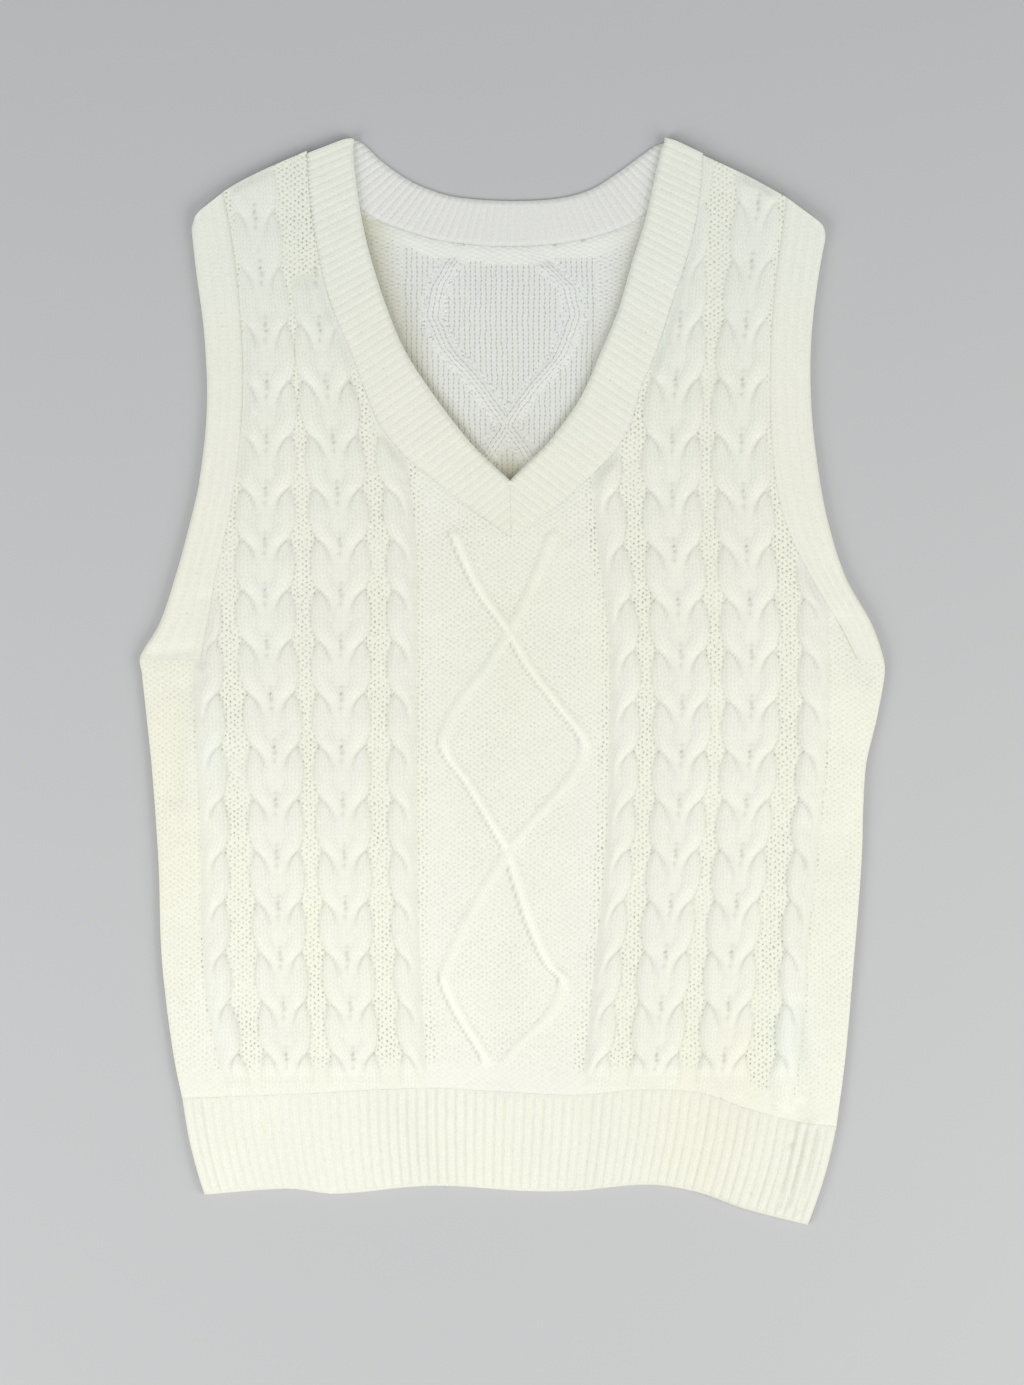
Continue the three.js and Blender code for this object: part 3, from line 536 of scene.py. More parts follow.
def panelGrid(levels, plan, leftCurve, rightCurve):
    # Points of the panel at these levels, held between two boundary curves. Points close to a
    # curve move onto it, so that no slivers are left beside it.
    stretches = stretchesOf(plan)
    count = sum(stretch[2] for stretch in stretches) + 1
    level = np.repeat(levels[:, None], count, axis=1)
    y = level
    for _ in range(4):
        x, left, right = columnPlaces(y, stretches), leftCurve(y), rightCurve(y)
        x = np.where(x < left + closeBy, left, np.where(x > right - closeBy, right, x))
        y = bentLevel(level, x)
    return {"x": x, "y": y, "level": level}


def snapColumns(row, places):
    # The nearest columns move exactly to these places
    for place in places:
        row[np.argmin(np.abs(row - place))] = place


def levelsBetween(low, high, step):
    # Evenly spaced levels from low to high, about a step apart
    return np.linspace(low, high, max(2, round((high - low) / step) + 1))


# Boundary curves of the panels above the underarms, a seam's width inside the bands
panelSeams = {
    "armLeft": lambda y: armSeam["left"](y) + cloth["seamGap"],
    "armRight": lambda y: armSeam["right"](y) - cloth["seamGap"],
    "neckLeft": lambda y: neckSeam["left"](y) - cloth["seamGap"],
    "neckRight": lambda y: neckSeam["right"](y) + cloth["seamGap"],
}
armEdges = {"left": panelSeams["armLeft"], "right": panelSeams["armRight"]}


def quadsOf(rows, columns):
    # The four point numbers of each face of a grid, anticlockwise as seen from above
    index = np.arange(rows * columns).reshape(rows, columns)
    corners = [index[:-1, :-1], index[:-1, 1:], index[1:, 1:], index[1:, :-1]]
    return np.stack(corners, axis=-1).reshape(-1, 4)


def cornersOf(values):
    # Values of a grid's points at the four corners of each face
    return values.reshape(-1)[quadsOf(*values.shape)]


def awayFrom(x, y, curve, inward):
    # Distance of points from a boundary curve, square to it
    slope = (curve(y + 1) - curve(y - 1)) / 2
    return inward * (x - curve(y)) / np.sqrt(1 + slope * slope)


# Faint warm and cool patches in the yarn: x, y, reach (mm), warmth
warmPatches = [
    (-212, -110, 30, 0.9), (-210, -30, 22, 0.8), (-115, -150, 22, 0.35), (5, -180, 22, 0.5),
    (112, -270, 26, 0.9), (140, -220, 16, 0.7), (203, -60, 22, 0.4), (-182, -45, 12, -1.2),
    (-180, -190, 26, -0.5), (166, -215, 16, -1.3), (-100, -280, 40, -0.3), (-150, 60, 24, -0.6),
]
yarnColours = {
    "body": (0.845, 0.850, 0.752),
    "band": (0.848, 0.850, 0.742),
    "inside": (0.80, 0.808, 0.765),
    "backBand": (0.805, 0.795, 0.745),
    "shadow": (0.54, 0.525, 0.40),
}

# Changes of the colour over the vest, as shares of red, green and blue or of them all
tinting = {
    "warmer": (0.014, -0.006, -0.026),
    "middle": (0.022, 0.018, 0.05),  # the middle is a little darker and yellower
    "shoulders": 1.1,  # how much cooler the shoulders are
    "lowerLeft": 0.035,  # how much lighter the lower left is: painted light
    "right": 0.008,  # and how much darker the right: painted shade
    "creases": 0.02,  # painted highlight and shade: how much lighter a ridge is and how much darker a trough, for each mm
}


def tintOf(x, y, base, shade=0.0):
    # The yarn's colour, a little warmer or cooler in patches, with painted light and shade over the
    # vest, and darker by the shade
    warm = 0.12 * softNoise(x, y, 140, 5)
    for px, py, reach, strength in warmPatches:
        warm = warm + strength * np.exp(-((x - px) ** 2 + ((y - py) / 1.8) ** 2) / reach**2)
    warm = warm - tinting["shoulders"] * smooth((y - 60) / 240)
    # Painted light on the lower left, painted shade on the right, painted highlight and shade on the
    # creases
    right = smooth((x + 60) / 160)
    light = tinting["lowerLeft"] * smooth((40 - y) / 200) * (1 - right)
    light = light - tinting["right"] * right + tinting["creases"] * creaseHeight(x, y)
    middle = np.exp(-((x / 42) ** 2) - ((y - 20) / 120) ** 2)
    tint = 1 + light[..., None] + warm[..., None] * np.array(tinting["warmer"])
    tint = np.array(base) * (tint - middle[..., None] * np.array(tinting["middle"]))
    return np.clip(tint * (1 - np.asarray(shade)[..., None]), 0, 1)


# Corners of the outline, each with the point it rounds towards (mm)
softCorners = {
    "reach": 9.0,
    "inwards": 2.4,
    "pairs": [
        ((-193.5, 277), (-178, 270)), ((190, 271), (175, 264)),
        ((-94.5, 327), (-98, 310)), ((91, 325), (95, 308)),
    ],
}


def roundedCorners(points):
    # Points near a corner of the outline move inwards, most at the corner itself
    for corner, towards in softCorners["pairs"]:
        run = np.array(towards, float) - corner
        near = np.clip(1 - np.hypot(*(points[:, :2] - corner).T) / softCorners["reach"], 0, 1) ** 2
        points[:, :2] += softCorners["inwards"] * near[:, None] * run / np.linalg.norm(run)
    return points


def farPatches(patches):
    # The same grids at their own far heights, with their own stitches and tints
    return [{**patch, **patch["farSide"], "z": patch["far"]} for patch in patches]


def projectedArea(points, faces):
    # Area seen from straight above (mm2)
    a, b, c, d = (points[faces[:, k], :2] for k in range(4))
    cross = lambda p, q: p[:, 0] * q[:, 1] - p[:, 1] * q[:, 0]
    return float(np.abs(cross(c - a, d - b)).sum() / 2)


def meshOfGrids(name, patches, farSide):
    # One mesh of all the grids, with stitch places, purl, tint and the far side's level on it.
    # Where each patch has its own far side, its grids follow as a second set with material 1.
    twoFaced = farSide is None
    points, faces, uvs, purls, tints, fars, slots = [], [], [], [], [], [], []
    start = 0
    for number, patch in enumerate(patches + (farPatches(patches) if twoFaced else [])):
        flat = roundedCorners(np.stack([patch["x"], patch["y"], patch["z"]], axis=-1).reshape(-1, 3))
        quad = quadsOf(*patch["x"].shape)
        corners = flat[quad]
        diagonals = np.cross(corners[:, 2] - corners[:, 0], corners[:, 3] - corners[:, 1])
        kept = np.linalg.norm(diagonals, axis=1) > 0.03
        far = patch["far"] if twoFaced else farSide
        points.append(flat)
        faces.append(quad[kept] + start)
        uvs.append(np.stack([patch["wale"], patch["course"]], axis=-1)[kept])
        purls.append(patch["purl"][kept])
        tints.append(patch["tint"].reshape(-1, 3))
        fars.append(np.broadcast_to(far, patch["x"].shape).reshape(-1))
        slots.append(np.full(int(kept.sum()), int(number >= len(patches))))
        start += len(flat)
    points, faces = np.concatenate(points), np.concatenate(faces)
    area = projectedArea(points, faces) / (2 if twoFaced else 1)
    mesh = bpy.data.meshes.new(name)
    mesh.from_pydata(points * mm, [], faces)
    stitchMap = mesh.uv_layers.new(name="stitches")
    stitchMap.data.foreach_set("uv", np.concatenate(uvs).reshape(-1).astype(np.float32))
    mesh.polygons.foreach_set("material_index", np.concatenate(slots).astype(np.int32))
    layers = [
        ("purl", "FLOAT", "FACE", "value", np.concatenate(purls)),
        ("yarnTint", "FLOAT_VECTOR", "POINT", "vector", np.concatenate(tints).reshape(-1)),
        ("farSide", "FLOAT", "POINT", "value", np.concatenate(fars) * mm),
    ]
    for label, kind, domain, key, values in layers:
        mesh.attributes.new(label, kind, domain).data.foreach_set(key, values.astype(np.float32))
    return mesh, area


def closeShell(mesh, twoFaced):
    # The face's border drops to the far side, which is its second set of grids or is filled in
    # plain; returns the number of edges that are still open
    work = bmesh.new()
    work.from_mesh(mesh)
    bmesh.ops.remove_doubles(work, verts=work.verts, dist=0.02 * mm)
    bmesh.ops.dissolve_degenerate(work, dist=0.01 * mm, edges=work.edges)
    loose = [vert for vert in work.verts if not vert.link_faces]
    bmesh.ops.delete(work, geom=loose, context="VERTS")
    far = work.verts.layers.float["farSide"]
    border = [edge for edge in work.edges if edge.is_boundary]
    if twoFaced:
        lower = lambda vert: vert.co.z < vert[far] - 0.2 * mm
        border = [edge for edge in border if all(lower(vert) for vert in edge.verts)]
    made = bmesh.ops.extrude_edge_only(work, edges=border)["geom"]
    for vert in [part for part in made if isinstance(part, bmesh.types.BMVert)]:
        vert.co.z = vert[far]
    if twoFaced:
        bmesh.ops.remove_doubles(work, verts=work.verts, dist=0.03 * mm)
    else:
        rim = [part for part in made if isinstance(part, bmesh.types.BMEdge) and part.is_boundary]
        bmesh.ops.edgeloop_fill(work, edges=rim)
    bmesh.ops.recalc_face_normals(work, faces=work.faces)
    openEdges = sum(1 for edge in work.edges if not edge.is_manifold)
    work.to_mesh(mesh)
    work.free()
    mesh.attributes.remove(mesh.attributes["farSide"])
    return openEdges


def buildShell(name, patches, farSide, materials):
    # One closed piece of cloth: the shaped face from grids of points, a rim, and the far side,
    # which is plain at one level, or a second set of grids where farSide is None
    mesh, area = meshOfGrids(name, patches, farSide)
    openEdges = closeShell(mesh, farSide is None)
    mesh.shade_smooth()
    mesh.set_sharp_from_angle(angle=math.radians(55))
    for material in materials:
        mesh.materials.append(material)
    piece = bpy.data.objects.new(name, mesh)
    bpy.context.scene.collection.objects.link(piece)
    triangles = sum(len(face.vertices) - 2 for face in mesh.polygons)
    print(f"{name}: {triangles} triangles, {openEdges} open edges, {area / 1e6:.4f} m2")
    return piece, area / 1e6


def dress(piece, area, node, slot, restsOn, strip=None):
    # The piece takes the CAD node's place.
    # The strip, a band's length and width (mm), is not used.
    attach(piece, "root")
    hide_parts(node)


# Shared shader effects


def groupOf(name, inputs, outputs):
    # A new node group; inputs and outputs give each socket's name and kind
    tree = bpy.data.node_groups.new(name, "ShaderNodeTree")
    for direction, sockets in (("INPUT", inputs), ("OUTPUT", outputs)):
        for label, kind in sockets.items():
            tree.interface.new_socket(name=label, in_out=direction, socket_type="NodeSocket" + kind)
    return tree, tree.nodes.new("NodeGroupInput").outputs, tree.nodes.new("NodeGroupOutput").inputs


def feed(tree, socket, value):
    # A link or a plain value into a socket
    if isinstance(value, bpy.types.NodeSocket):
        tree.links.new(value, socket)
    else:
        socket.default_value = value


def useNode(tree, kind, values):
    # A new node of this kind with its inputs fed
    node = tree.nodes.new(kind)
    for socket, value in values.items():
        feed(tree, node.inputs[socket], value)
    return node


def calc(tree, operation, *values, clamp=False):
    # A Math node of these values
    node = tree.nodes.new("ShaderNodeMath")
    node.operation = operation
    node.use_clamp = clamp
    for socket, value in zip(node.inputs, values):
        feed(tree, socket, value)
    return node.outputs[0]


def noiseOf(tree, vector, scale, detail=2.0, roughness=0.5):
    # A noise value at each place
    values = {"Vector": vector, "Scale": scale, "Detail": detail, "Roughness": roughness}
    return useNode(tree, "ShaderNodeTexNoise", values).outputs["Fac"]


def mixNumber(tree, factor, first, second):
    # The first value where the factor is 0, and the second where it is 1
    return useNode(tree, "ShaderNodeMix", {0: factor, 2: first, 3: second}).outputs[0]


def mixColour(tree, blend, factor, first, second):
    # The second colour blended over the first by the factor
    node = tree.nodes.new("ShaderNodeMix")
    node.data_type = "RGBA"
    node.blend_type = blend
    for socket, value in ((0, factor), (6, first), (7, second)):
        feed(tree, node.inputs[socket], value)
    return node.outputs[2]


# Shape of the stitches, in shares of a stitch or of its height
stitchShape = {
    "wanderAcross": 0.7,
    "wanderAlong": -0.9,
    "legSlope": 0.62,
    "legDip": 0.3,
    "legRoundness": 0.55,
    "dotDip": 0.4,
    "pitShift": 0.3,
    "pitNarrowness": 3.6,
    "pitFall": -2.4,
    "pitSizes": (0.6, 0.45),  # range and least
    "bar": (-0.12, 0.7),  # dip and height
    "fuzz": 0.2,
}


def knitStitch(do, leg, course):
    # Height of a knit stitch: waves that climb with the leg, times a round back across the leg
    climb = do("SUBTRACT", course, do("MULTIPLY", leg, stitchShape["legSlope"]))
    wave = do("COSINE", do("MULTIPLY", climb, 2 * math.pi))
    along = do("MULTIPLY_ADD", wave, stitchShape["legDip"], 1 - stitchShape["legDip"])
    across = do("SINE", do("MULTIPLY", leg, math.pi), clamp=True)
    return do("MULTIPLY", along, do("POWER", across, stitchShape["legRoundness"]))


def purlStitch(tree, do, wale, centred, course):
    # Height of the purl bars and depth of their pits: a round pit in each cell of staggered
    # columns, of a size and place that chance gives it
    parity = do("MODULO", do("ABSOLUTE", do("FLOOR", wale)), 2.0)
    staggered = do("MULTIPLY_ADD", parity, 0.5, course)
    corner = {0: do("FLOOR", wale), 1: do("FLOOR", staggered)}
    cell = useNode(tree, "ShaderNodeCombineXYZ", corner).outputs[0]
    colour = useNode(tree, "ShaderNodeTexWhiteNoise", {"Vector": cell}).outputs["Color"]
    chances = useNode(tree, "ShaderNodeSeparateColor", {0: colour}).outputs
    down = do("SUBTRACT", do("FRACT", staggered), 0.5)
    squares = []
    for chance, place in ((chances[0], centred), (chances[1], down)):
        shift = do("MULTIPLY_ADD", chance, stitchShape["pitShift"], -stitchShape["pitShift"] / 2)
        away = do("MULTIPLY", do("ADD", place, shift), stitchShape["pitNarrowness"])
        squares.append(do("POWER", away, 2.0))
    fall = do("EXPONENT", do("MULTIPLY", do("ADD", *squares), stitchShape["pitFall"]))
    pit = do("MULTIPLY", fall, do("MULTIPLY_ADD", chances[2], *stitchShape["pitSizes"]))
    wave = do("COSINE", do("MULTIPLY", down, 2 * math.pi))
    return do("MULTIPLY_ADD", wave, *stitchShape["bar"]), pit


def stitchGroup():
    # Height and pits of the knitting. Knit: two legs to a stitch that open upwards in a V, round
    # across each leg. Purl: short bars with uneven pits in staggered columns. Open: dotted gaps
    # between the wales. Pits is the mask of painted shade in the pits, grooves and gaps.
    tree, given, result = groupOf(
        "knitStitches",
        {"Stitches": "Vector", "Purl": "Float", "Knit": "Float", "Open": "Float", "Place": "Vector"},
        {"Height": "Float", "Pits": "Float"},
    )
    do = partial(calc, tree)
    wobble = noiseOf(tree, given["Place"], 210.0)
    places = useNode(tree, "ShaderNodeSeparateXYZ", {0: given["Stitches"]}).outputs
    wale, course = (
        do("ADD", place, do("MULTIPLY_ADD", wobble, wander, -wander / 2))
        for place, wander in zip(places, (stitchShape["wanderAcross"], stitchShape["wanderAlong"]))
    )
    centred = do("SUBTRACT", do("FRACT", wale), 0.5)
    leg = do("MULTIPLY", do("ABSOLUTE", centred), 2.0)
    knitHeight = knitStitch(do, leg, course)
    knitPits = do("POWER", do("SUBTRACT", 1.0, knitHeight, clamp=True), 2.2)

    wave = do("COSINE", do("MULTIPLY", course, 2 * math.pi))
    dots = do("MULTIPLY_ADD", wave, stitchShape["dotDip"], 1 - stitchShape["dotDip"])
    gaps = do("MULTIPLY", do("POWER", leg, 3.5), do("MULTIPLY", dots, given["Open"]))

    bars, pit = purlStitch(tree, do, wale, centred, course)
    purlPits = do("MULTIPLY", pit, given["Purl"])
    isPurl = do("GREATER_THAN", given["Purl"], 0.02)
    shallowKnit = do("SUBTRACT", do("MULTIPLY", knitHeight, given["Knit"]), gaps)
    height = mixNumber(tree, isPurl, shallowKnit, do("SUBTRACT", bars, purlPits))
    pits = mixNumber(tree, isPurl, do("MULTIPLY_ADD", knitPits, given["Knit"], gaps), purlPits)
    fuzz = noiseOf(tree, given["Place"], 1500.0, 3.0, 0.7)
    feed(tree, result["Height"], do("MULTIPLY_ADD", fuzz, stitchShape["fuzz"], height))
    feed(tree, result["Pits"], pits)
    return tree


# Colour of the painted shade in the pits and grooves between the stitches
pitShadeColour = (0.31, 0.295, 0.19, 1.0)


def yarnColourGroup():
    # Colour of the wool: the piece's tint, mottled along the yarn, with painted shade in the pits,
    # darker and warmer
    tree, given, result = groupOf(
        "yarnColour",
        {"Tint": "Color", "Pits": "Float", "Depth": "Float", "Place": "Vector"},
        {"Colour": "Color"},
    )
    do = partial(calc, tree)
    mottle = do("MULTIPLY_ADD", noiseOf(tree, given["Place"], 420.0, 3.0, 0.6), 0.1, 0.95)
    cloudy = do("MULTIPLY_ADD", noiseOf(tree, given["Place"], 22.0), 0.05, 0.975)
    bright = do("MULTIPLY", mottle, cloudy)
    grey = useNode(tree, "ShaderNodeCombineColor", {0: bright, 1: bright, 2: bright}).outputs[0]
    worn = mixColour(tree, "MULTIPLY", 1.0, given["Tint"], grey)
    depth = do("MULTIPLY", given["Pits"], given["Depth"], clamp=True)
    feed(tree, result["Colour"], mixColour(tree, "MIX", depth, worn, pitShadeColour))
    return tree


stitchNodes = stitchGroup()
colourNodes = yarnColourGroup()


def useGroup(tree, group, values):
    # The shared effect in this material, with its inputs fed
    node = tree.nodes.new("ShaderNodeGroup")
    node.node_tree = group
    for label, value in values.items():
        feed(tree, node.inputs[label], value)
    return node.outputs


def woolMaterial(name, look):
    # Soft matt wool: stitch relief as bump, colour from the tint with painted shade in the pits, a faint
    # sheen of loose fibres
    material = bpy.data.materials.new(name)
    material.use_nodes = True
    tree = material.node_tree
    shader = tree.nodes["Principled BSDF"]
    shader.inputs["Roughness"].default_value = look["roughness"]
    shader.inputs["Sheen Weight"].default_value = look["sheen"]
    shader.inputs["Sheen Roughness"].default_value = 0.6
    shader.inputs["Specular IOR Level"].default_value = 0.2
    stitchMap = tree.nodes.new("ShaderNodeUVMap")
    stitchMap.uv_map = "stitches"
    purl = tree.nodes.new("ShaderNodeAttribute")
    purl.attribute_name = "purl"
    tint = tree.nodes.new("ShaderNodeAttribute")
    tint.attribute_name = "yarnTint"
    place = tree.nodes.new("ShaderNodeTexCoord").outputs["Object"]
    stitch = useGroup(tree, stitchNodes, {
        "Stitches": stitchMap.outputs[0], "Purl": purl.outputs["Fac"], "Knit": look["knitDepth"],
        "Open": look["openWales"], "Place": place,
    })
    colour = useGroup(tree, colourNodes, {
        "Tint": tint.outputs["Color"], "Pits": stitch["Pits"], "Depth": look["pitShade"],
        "Place": place,
    })
    bump = tree.nodes.new("ShaderNodeBump")
    bump.inputs["Strength"].default_value = look["bumpStrength"]
    bump.inputs["Distance"].default_value = look["bumpDistance"] * mm
    feed(tree, bump.inputs["Height"], stitch["Height"])
    feed(tree, shader.inputs["Base Color"], colour["Colour"])
    feed(tree, shader.inputs["Normal"], bump.outputs["Normal"])
    return material


# Each wool's look, with the strength of the painted shade in its pits
wool = {
    "body": {
        "roughness": 0.9, "sheen": 0.1, "pitShade": 0.8, "knitDepth": 0.22, "openWales": 0.0,
        "bumpStrength": 0.6, "bumpDistance": 0.7,
    },
    "rib": {
        "roughness": 0.9, "sheen": 0.1, "pitShade": 0.4, "knitDepth": 0.3, "openWales": 0.0,
        "bumpStrength": 0.6, "bumpDistance": 0.6,
    },
    "inside": {
        "roughness": 0.92, "sheen": 0.1, "pitShade": 0.5, "knitDepth": 0.25, "openWales": 0.75,
        "bumpStrength": 0.7, "bumpDistance": 0.7,
    },
}
bodyWool = woolMaterial("creamCableWool", wool["body"])
ribWool = woolMaterial("creamRibWool", wool["rib"])
insideWool = woolMaterial("creamInsideWool", wool["inside"])

# Camera straight above: the middle and height of what it sees at a level near the front's (mm)
view = {"centre": (-0.3, -7.5), "frameHeight": 831.0, "level": 5.0, "lens": 100.0, "sensor": 36.0}
camera = bpy.data.objects.new("camera", bpy.data.cameras.new("camera"))
bpy.context.scene.collection.objects.link(camera)
camera.data.sensor_fit = "VERTICAL"
camera.data.sensor_height = view["sensor"]
camera.data.lens = view["lens"]
cameraHeight = view["frameHeight"] * view["lens"] / view["sensor"] * mm + view["level"] * mm
camera.location = (view["centre"][0] * mm, view["centre"][1] * mm, cameraHeight)
bpy.context.scene.camera = camera

# The front panel: body up to the underarms, chest up to the V, and the two shoulders
frontPanel = {
    "rowStep": 1.45, "holeShade": 0.42, "lineShade": 0.25, "seamShade": 0.03,
    "crestLight": 0.1,  # painted highlight on the crests of the strands, as a share of the lines' painted shade
    "groundYellow": 0.03,  # the stitches between the cables are yellower
}

# Small holes on the middle line of each horseshoe, beside every crossing, sunk and darkened with painted
# shade
holes = {
    "turn": 29.4,  # height of a turn (mm)
    # place above a crossing (turns), depth, and place to the right of the middle (mm)
    "spots": [(0.2, 0.55, 0.4), (0.07, 1.0, -0.2), (-0.04, 0.8, 0.5), (-0.2, 0.6, -0.5)],
    "halfWidth": 0.85,
    "halfHeight": 1.0,
    "sink": 0.7,
}


def frontRelief(grid, curves, lower):
    # Height of the front's face: wall, cables and folds, sunk along the seams, rolled at the sides
    x, y, level = grid["x"], grid["y"], grid["level"]
    relief, _, paintedShading = reliefField(x, y, frontLattice)
    left, right = curves
    fromSide = np.minimum(awayFrom(x, y, left, 1), awayFrom(x, y, right, -1))
    fromSeam = np.minimum(level - cut["hemSeamLevel"], cut["shoulderLevel"] - level)
    roll = 0.0 * x
    if lower:
        roll = 1 - roundOver(fromSide, cloth["sideRollWidth"])
    else:
        fromSeam = np.minimum(fromSeam, fromSide)
    sink = 1 - roundOver(fromSeam, cloth["seamWidth"])
    under = cut["underarmLevel"]
    inwards = np.clip(np.minimum(x - armSeam["left"](under), armSeam["right"](under) - x), 0, 99)
    nearest = np.minimum(fromSeam, np.hypot(inwards, under - y)) if lower else fromSeam
    fade = (0.1 + 0.9 * smooth(nearest / 7)) * (1 - 0.75 * roll)
    height = frontBase + cloth["frontWall"] + relief * fade + creaseHeight(x, y) * (1 - 0.6 * roll)
    height = height + (0.16 * softNoise(x, y, 38, 3) + 0.08 * softNoise(x, y, 13, 4)) * fade
    z = height - cloth["seamGroove"] * sink - cloth["sideRoll"] * roll
    # Painted shade beside the strands and cords, less a painted highlight on the crests
    paintedShading = (paintedShading - frontPanel["crestLight"] * relief / cables["rise"]) * fade
    return z, paintedShading, sink, relief


def holeShade(x, y):
    # A bell round each spot, repeated in every turn of each horseshoe: the holes' sink and painted shade
    shade = np.zeros(x.shape)
    for name in cableOrder:
        if name.startswith("shoe"):
            turn = turnOf(name, y)
            for place, depth, side in holes["spots"]:
                up = (turn - place - np.round(turn - place)) * holes["turn"] / holes["halfHeight"]
                across = (x - cableCentre[name](y) - side) / holes["halfWidth"]
                shade = np.maximum(shade, depth * np.exp(-(across**2) - up**2))
    return shade


def finishPatch(grid, z, rows, colour, shade):
    # The grid with its heights, stitch places and tints
    wale, course, purl = stitchCoords(
        cornersOf(grid["x"]).mean(axis=1), cornersOf(grid["y"]).mean(axis=1),
        cornersOf(grid["x"]), cornersOf(grid["y"]), rows,
    )
    tint = tintOf(grid["x"], grid["y"], yarnColours[colour], shade)
    return {**grid, "z": z, "wale": wale, "course": course, "purl": purl, "tint": tint}


def bodyAndChest(bodyLevels, chestLevels, plan):
    # Grids of a panel below and above the underarms, which share the points of their border
    under = cut["underarmLevel"]
    ledge = [float(panelSeams[edge](under)) for edge in ("armLeft", "armRight")]
    body = panelGrid(bodyLevels, plan, outline["left"], outline["right"])
    snapColumns(body["x"][-1], ledge)
    chest = panelGrid(chestLevels, plan, panelSeams["armLeft"], panelSeams["armRight"])
    chest["x"][0], chest["y"][0] = np.clip(body["x"][-1], *ledge), body["y"][-1]
    return body, chest


def frontGrids(step, plan, neckTop):
    # Grids of the front: body, chest, left shoulder and right shoulder
    low, under = cut["hemSeamLevel"] + cloth["seamGap"], cut["underarmLevel"]
    bodyLevels, chestLevels = levelsBetween(low, under, step), levelsBetween(under, neckTop, step)
    body, chest = bodyAndChest(bodyLevels, chestLevels, plan)
    neckX = float(neckSeam["left"](cut["neckPointLevel"]))
    snapColumns(chest["x"][-1], [neckX])
    levels = levelsBetween(neckTop, cut["shoulderLevel"], step)
    left = panelGrid(levels, plan, panelSeams["armLeft"], panelSeams["neckLeft"])
    right = panelGrid(levels, plan, panelSeams["neckRight"], panelSeams["armRight"])
    left["x"][0], left["y"][0] = np.minimum(chest["x"][-1], neckX), chest["y"][-1]
    right["x"][0], right["y"][0] = np.maximum(chest["x"][-1], neckX), chest["y"][-1]
    return body, chest, left, right


def joinRows(lower, upper):
    # The upper patch's first row takes the heights and tints of the lower patch's last row
    upper["z"][0] = np.interp(upper["x"][0], lower["x"][-1], lower["z"][-1])
    for k in range(3):
        upper["tint"][0, :, k] = np.interp(upper["x"][0], lower["x"][-1], lower["tint"][-1, :, k])


def makeFrontPanel():
    # Four grids from the hem seam to the shoulders, each with its relief, holes, painted shade and
    # painted highlights
    grids = frontGrids(frontPanel["rowStep"], columnPlan, cut["neckPointLevel"] - cloth["seamGap"])
    curves = [
        (outline["left"], outline["right"]),
        (panelSeams["armLeft"], panelSeams["armRight"]),
        (panelSeams["armLeft"], panelSeams["neckLeft"]),
        (panelSeams["neckRight"], panelSeams["armRight"]),
    ]
    patches = []
    for index, (grid, pair) in enumerate(zip(grids, curves)):
        z, paintedShading, sink, relief = frontRelief(grid, pair, index == 0)
        hole = holeShade(grid["x"], grid["y"])
        # Painted shade in the holes, beside the strands and in the seams' grooves
        shade = frontPanel["holeShade"] * hole + frontPanel["lineShade"] * paintedShading
        shade = shade + frontPanel["seamShade"] * sink**3
        patch = finishPatch(grid, z - holes["sink"] * hole, frontLattice, "body", shade)
        besideMiddle = smooth((np.abs(grid["x"] + 1) - 50) / 6)
        ground = (1 - smooth(relief / 1.2)) * besideMiddle * frontPanel["groundYellow"]
        patch["tint"] = patch["tint"] * (1 - ground[..., None] * np.array([0.1, 0.2, 1.0]))
        patches.append(patch)
    # shared border rows take one height, so that the patches close
    for upper, lower in ((1, 0), (2, 1), (3, 1)):
        joinRows(patches[lower], patches[upper])
    return buildShell("frontPanelKnit", patches, frontBase - cloth["lap"], [bodyWool])


dress(*makeFrontPanel(), "front_panel", "knit_body", ["back_panel"])
print("front panel ready")

# The back panel: the same cables on its underside, pressed flat where it lies, and the inside
# of the knitting showing in the neck opening (mm)
backPanel = {
    "plan": {"side": 10, "rope": 8, "shoe": 14, "gap": 3, "middle": 56},
    "bodyStep": 2.5,
    "neckStep": 1.9,
    "neckFrom": 118.0,  # level from which the rows are closer
    "ground": 1.1,
    "pressed": 0.62,  # what is left of the cables' height (share)
    "seamWidth": 5.0,
    "insideLevel": 2.0,
    "plainStrip": 10.0,
    "insideWale": 3.2,
}

# The crossing cords as they show through on the inside (mm)
ghost = {
    "half": 4.2,
    "rise": 0.9,
    "band": 5.2,  # half width of the stitches that lean with a cord
    "wale": 3.0,
    "beside": 6.8,  # where the purl pits beside a cord are
    # level, left cord, right cord
    "rows": [
        (120, -26, 20), (140, -12, 6), (153, -3.3, -3.3), (159, -7.5, -0.3), (174, -18, 10.5),
        (180, -22.5, 16), (195, -36, 28.5), (201, -40.5, 31), (219, -48.3, 37.5), (236, -45.3, 34),
        (250, -37.5, 19.5), (262, -28, 8),
    ],
}

# Shadow inside the neck opening: how dark, and how far from the edges and the point (mm)
openingShade = {
    "left": 0.75, "leftReach": (6, 8), "right": 0.35, "rightReach": (5, 7),
    "point": 0.9, "pointReach": 9, "round": 0.4, "roundReach": 26,
}


def ghostLines(y):
    # Places of the left and the right cord at these levels
    levels, left, right = np.array(ghost["rows"], float).T
    return np.interp(y, levels, left), np.interp(y, levels, right)


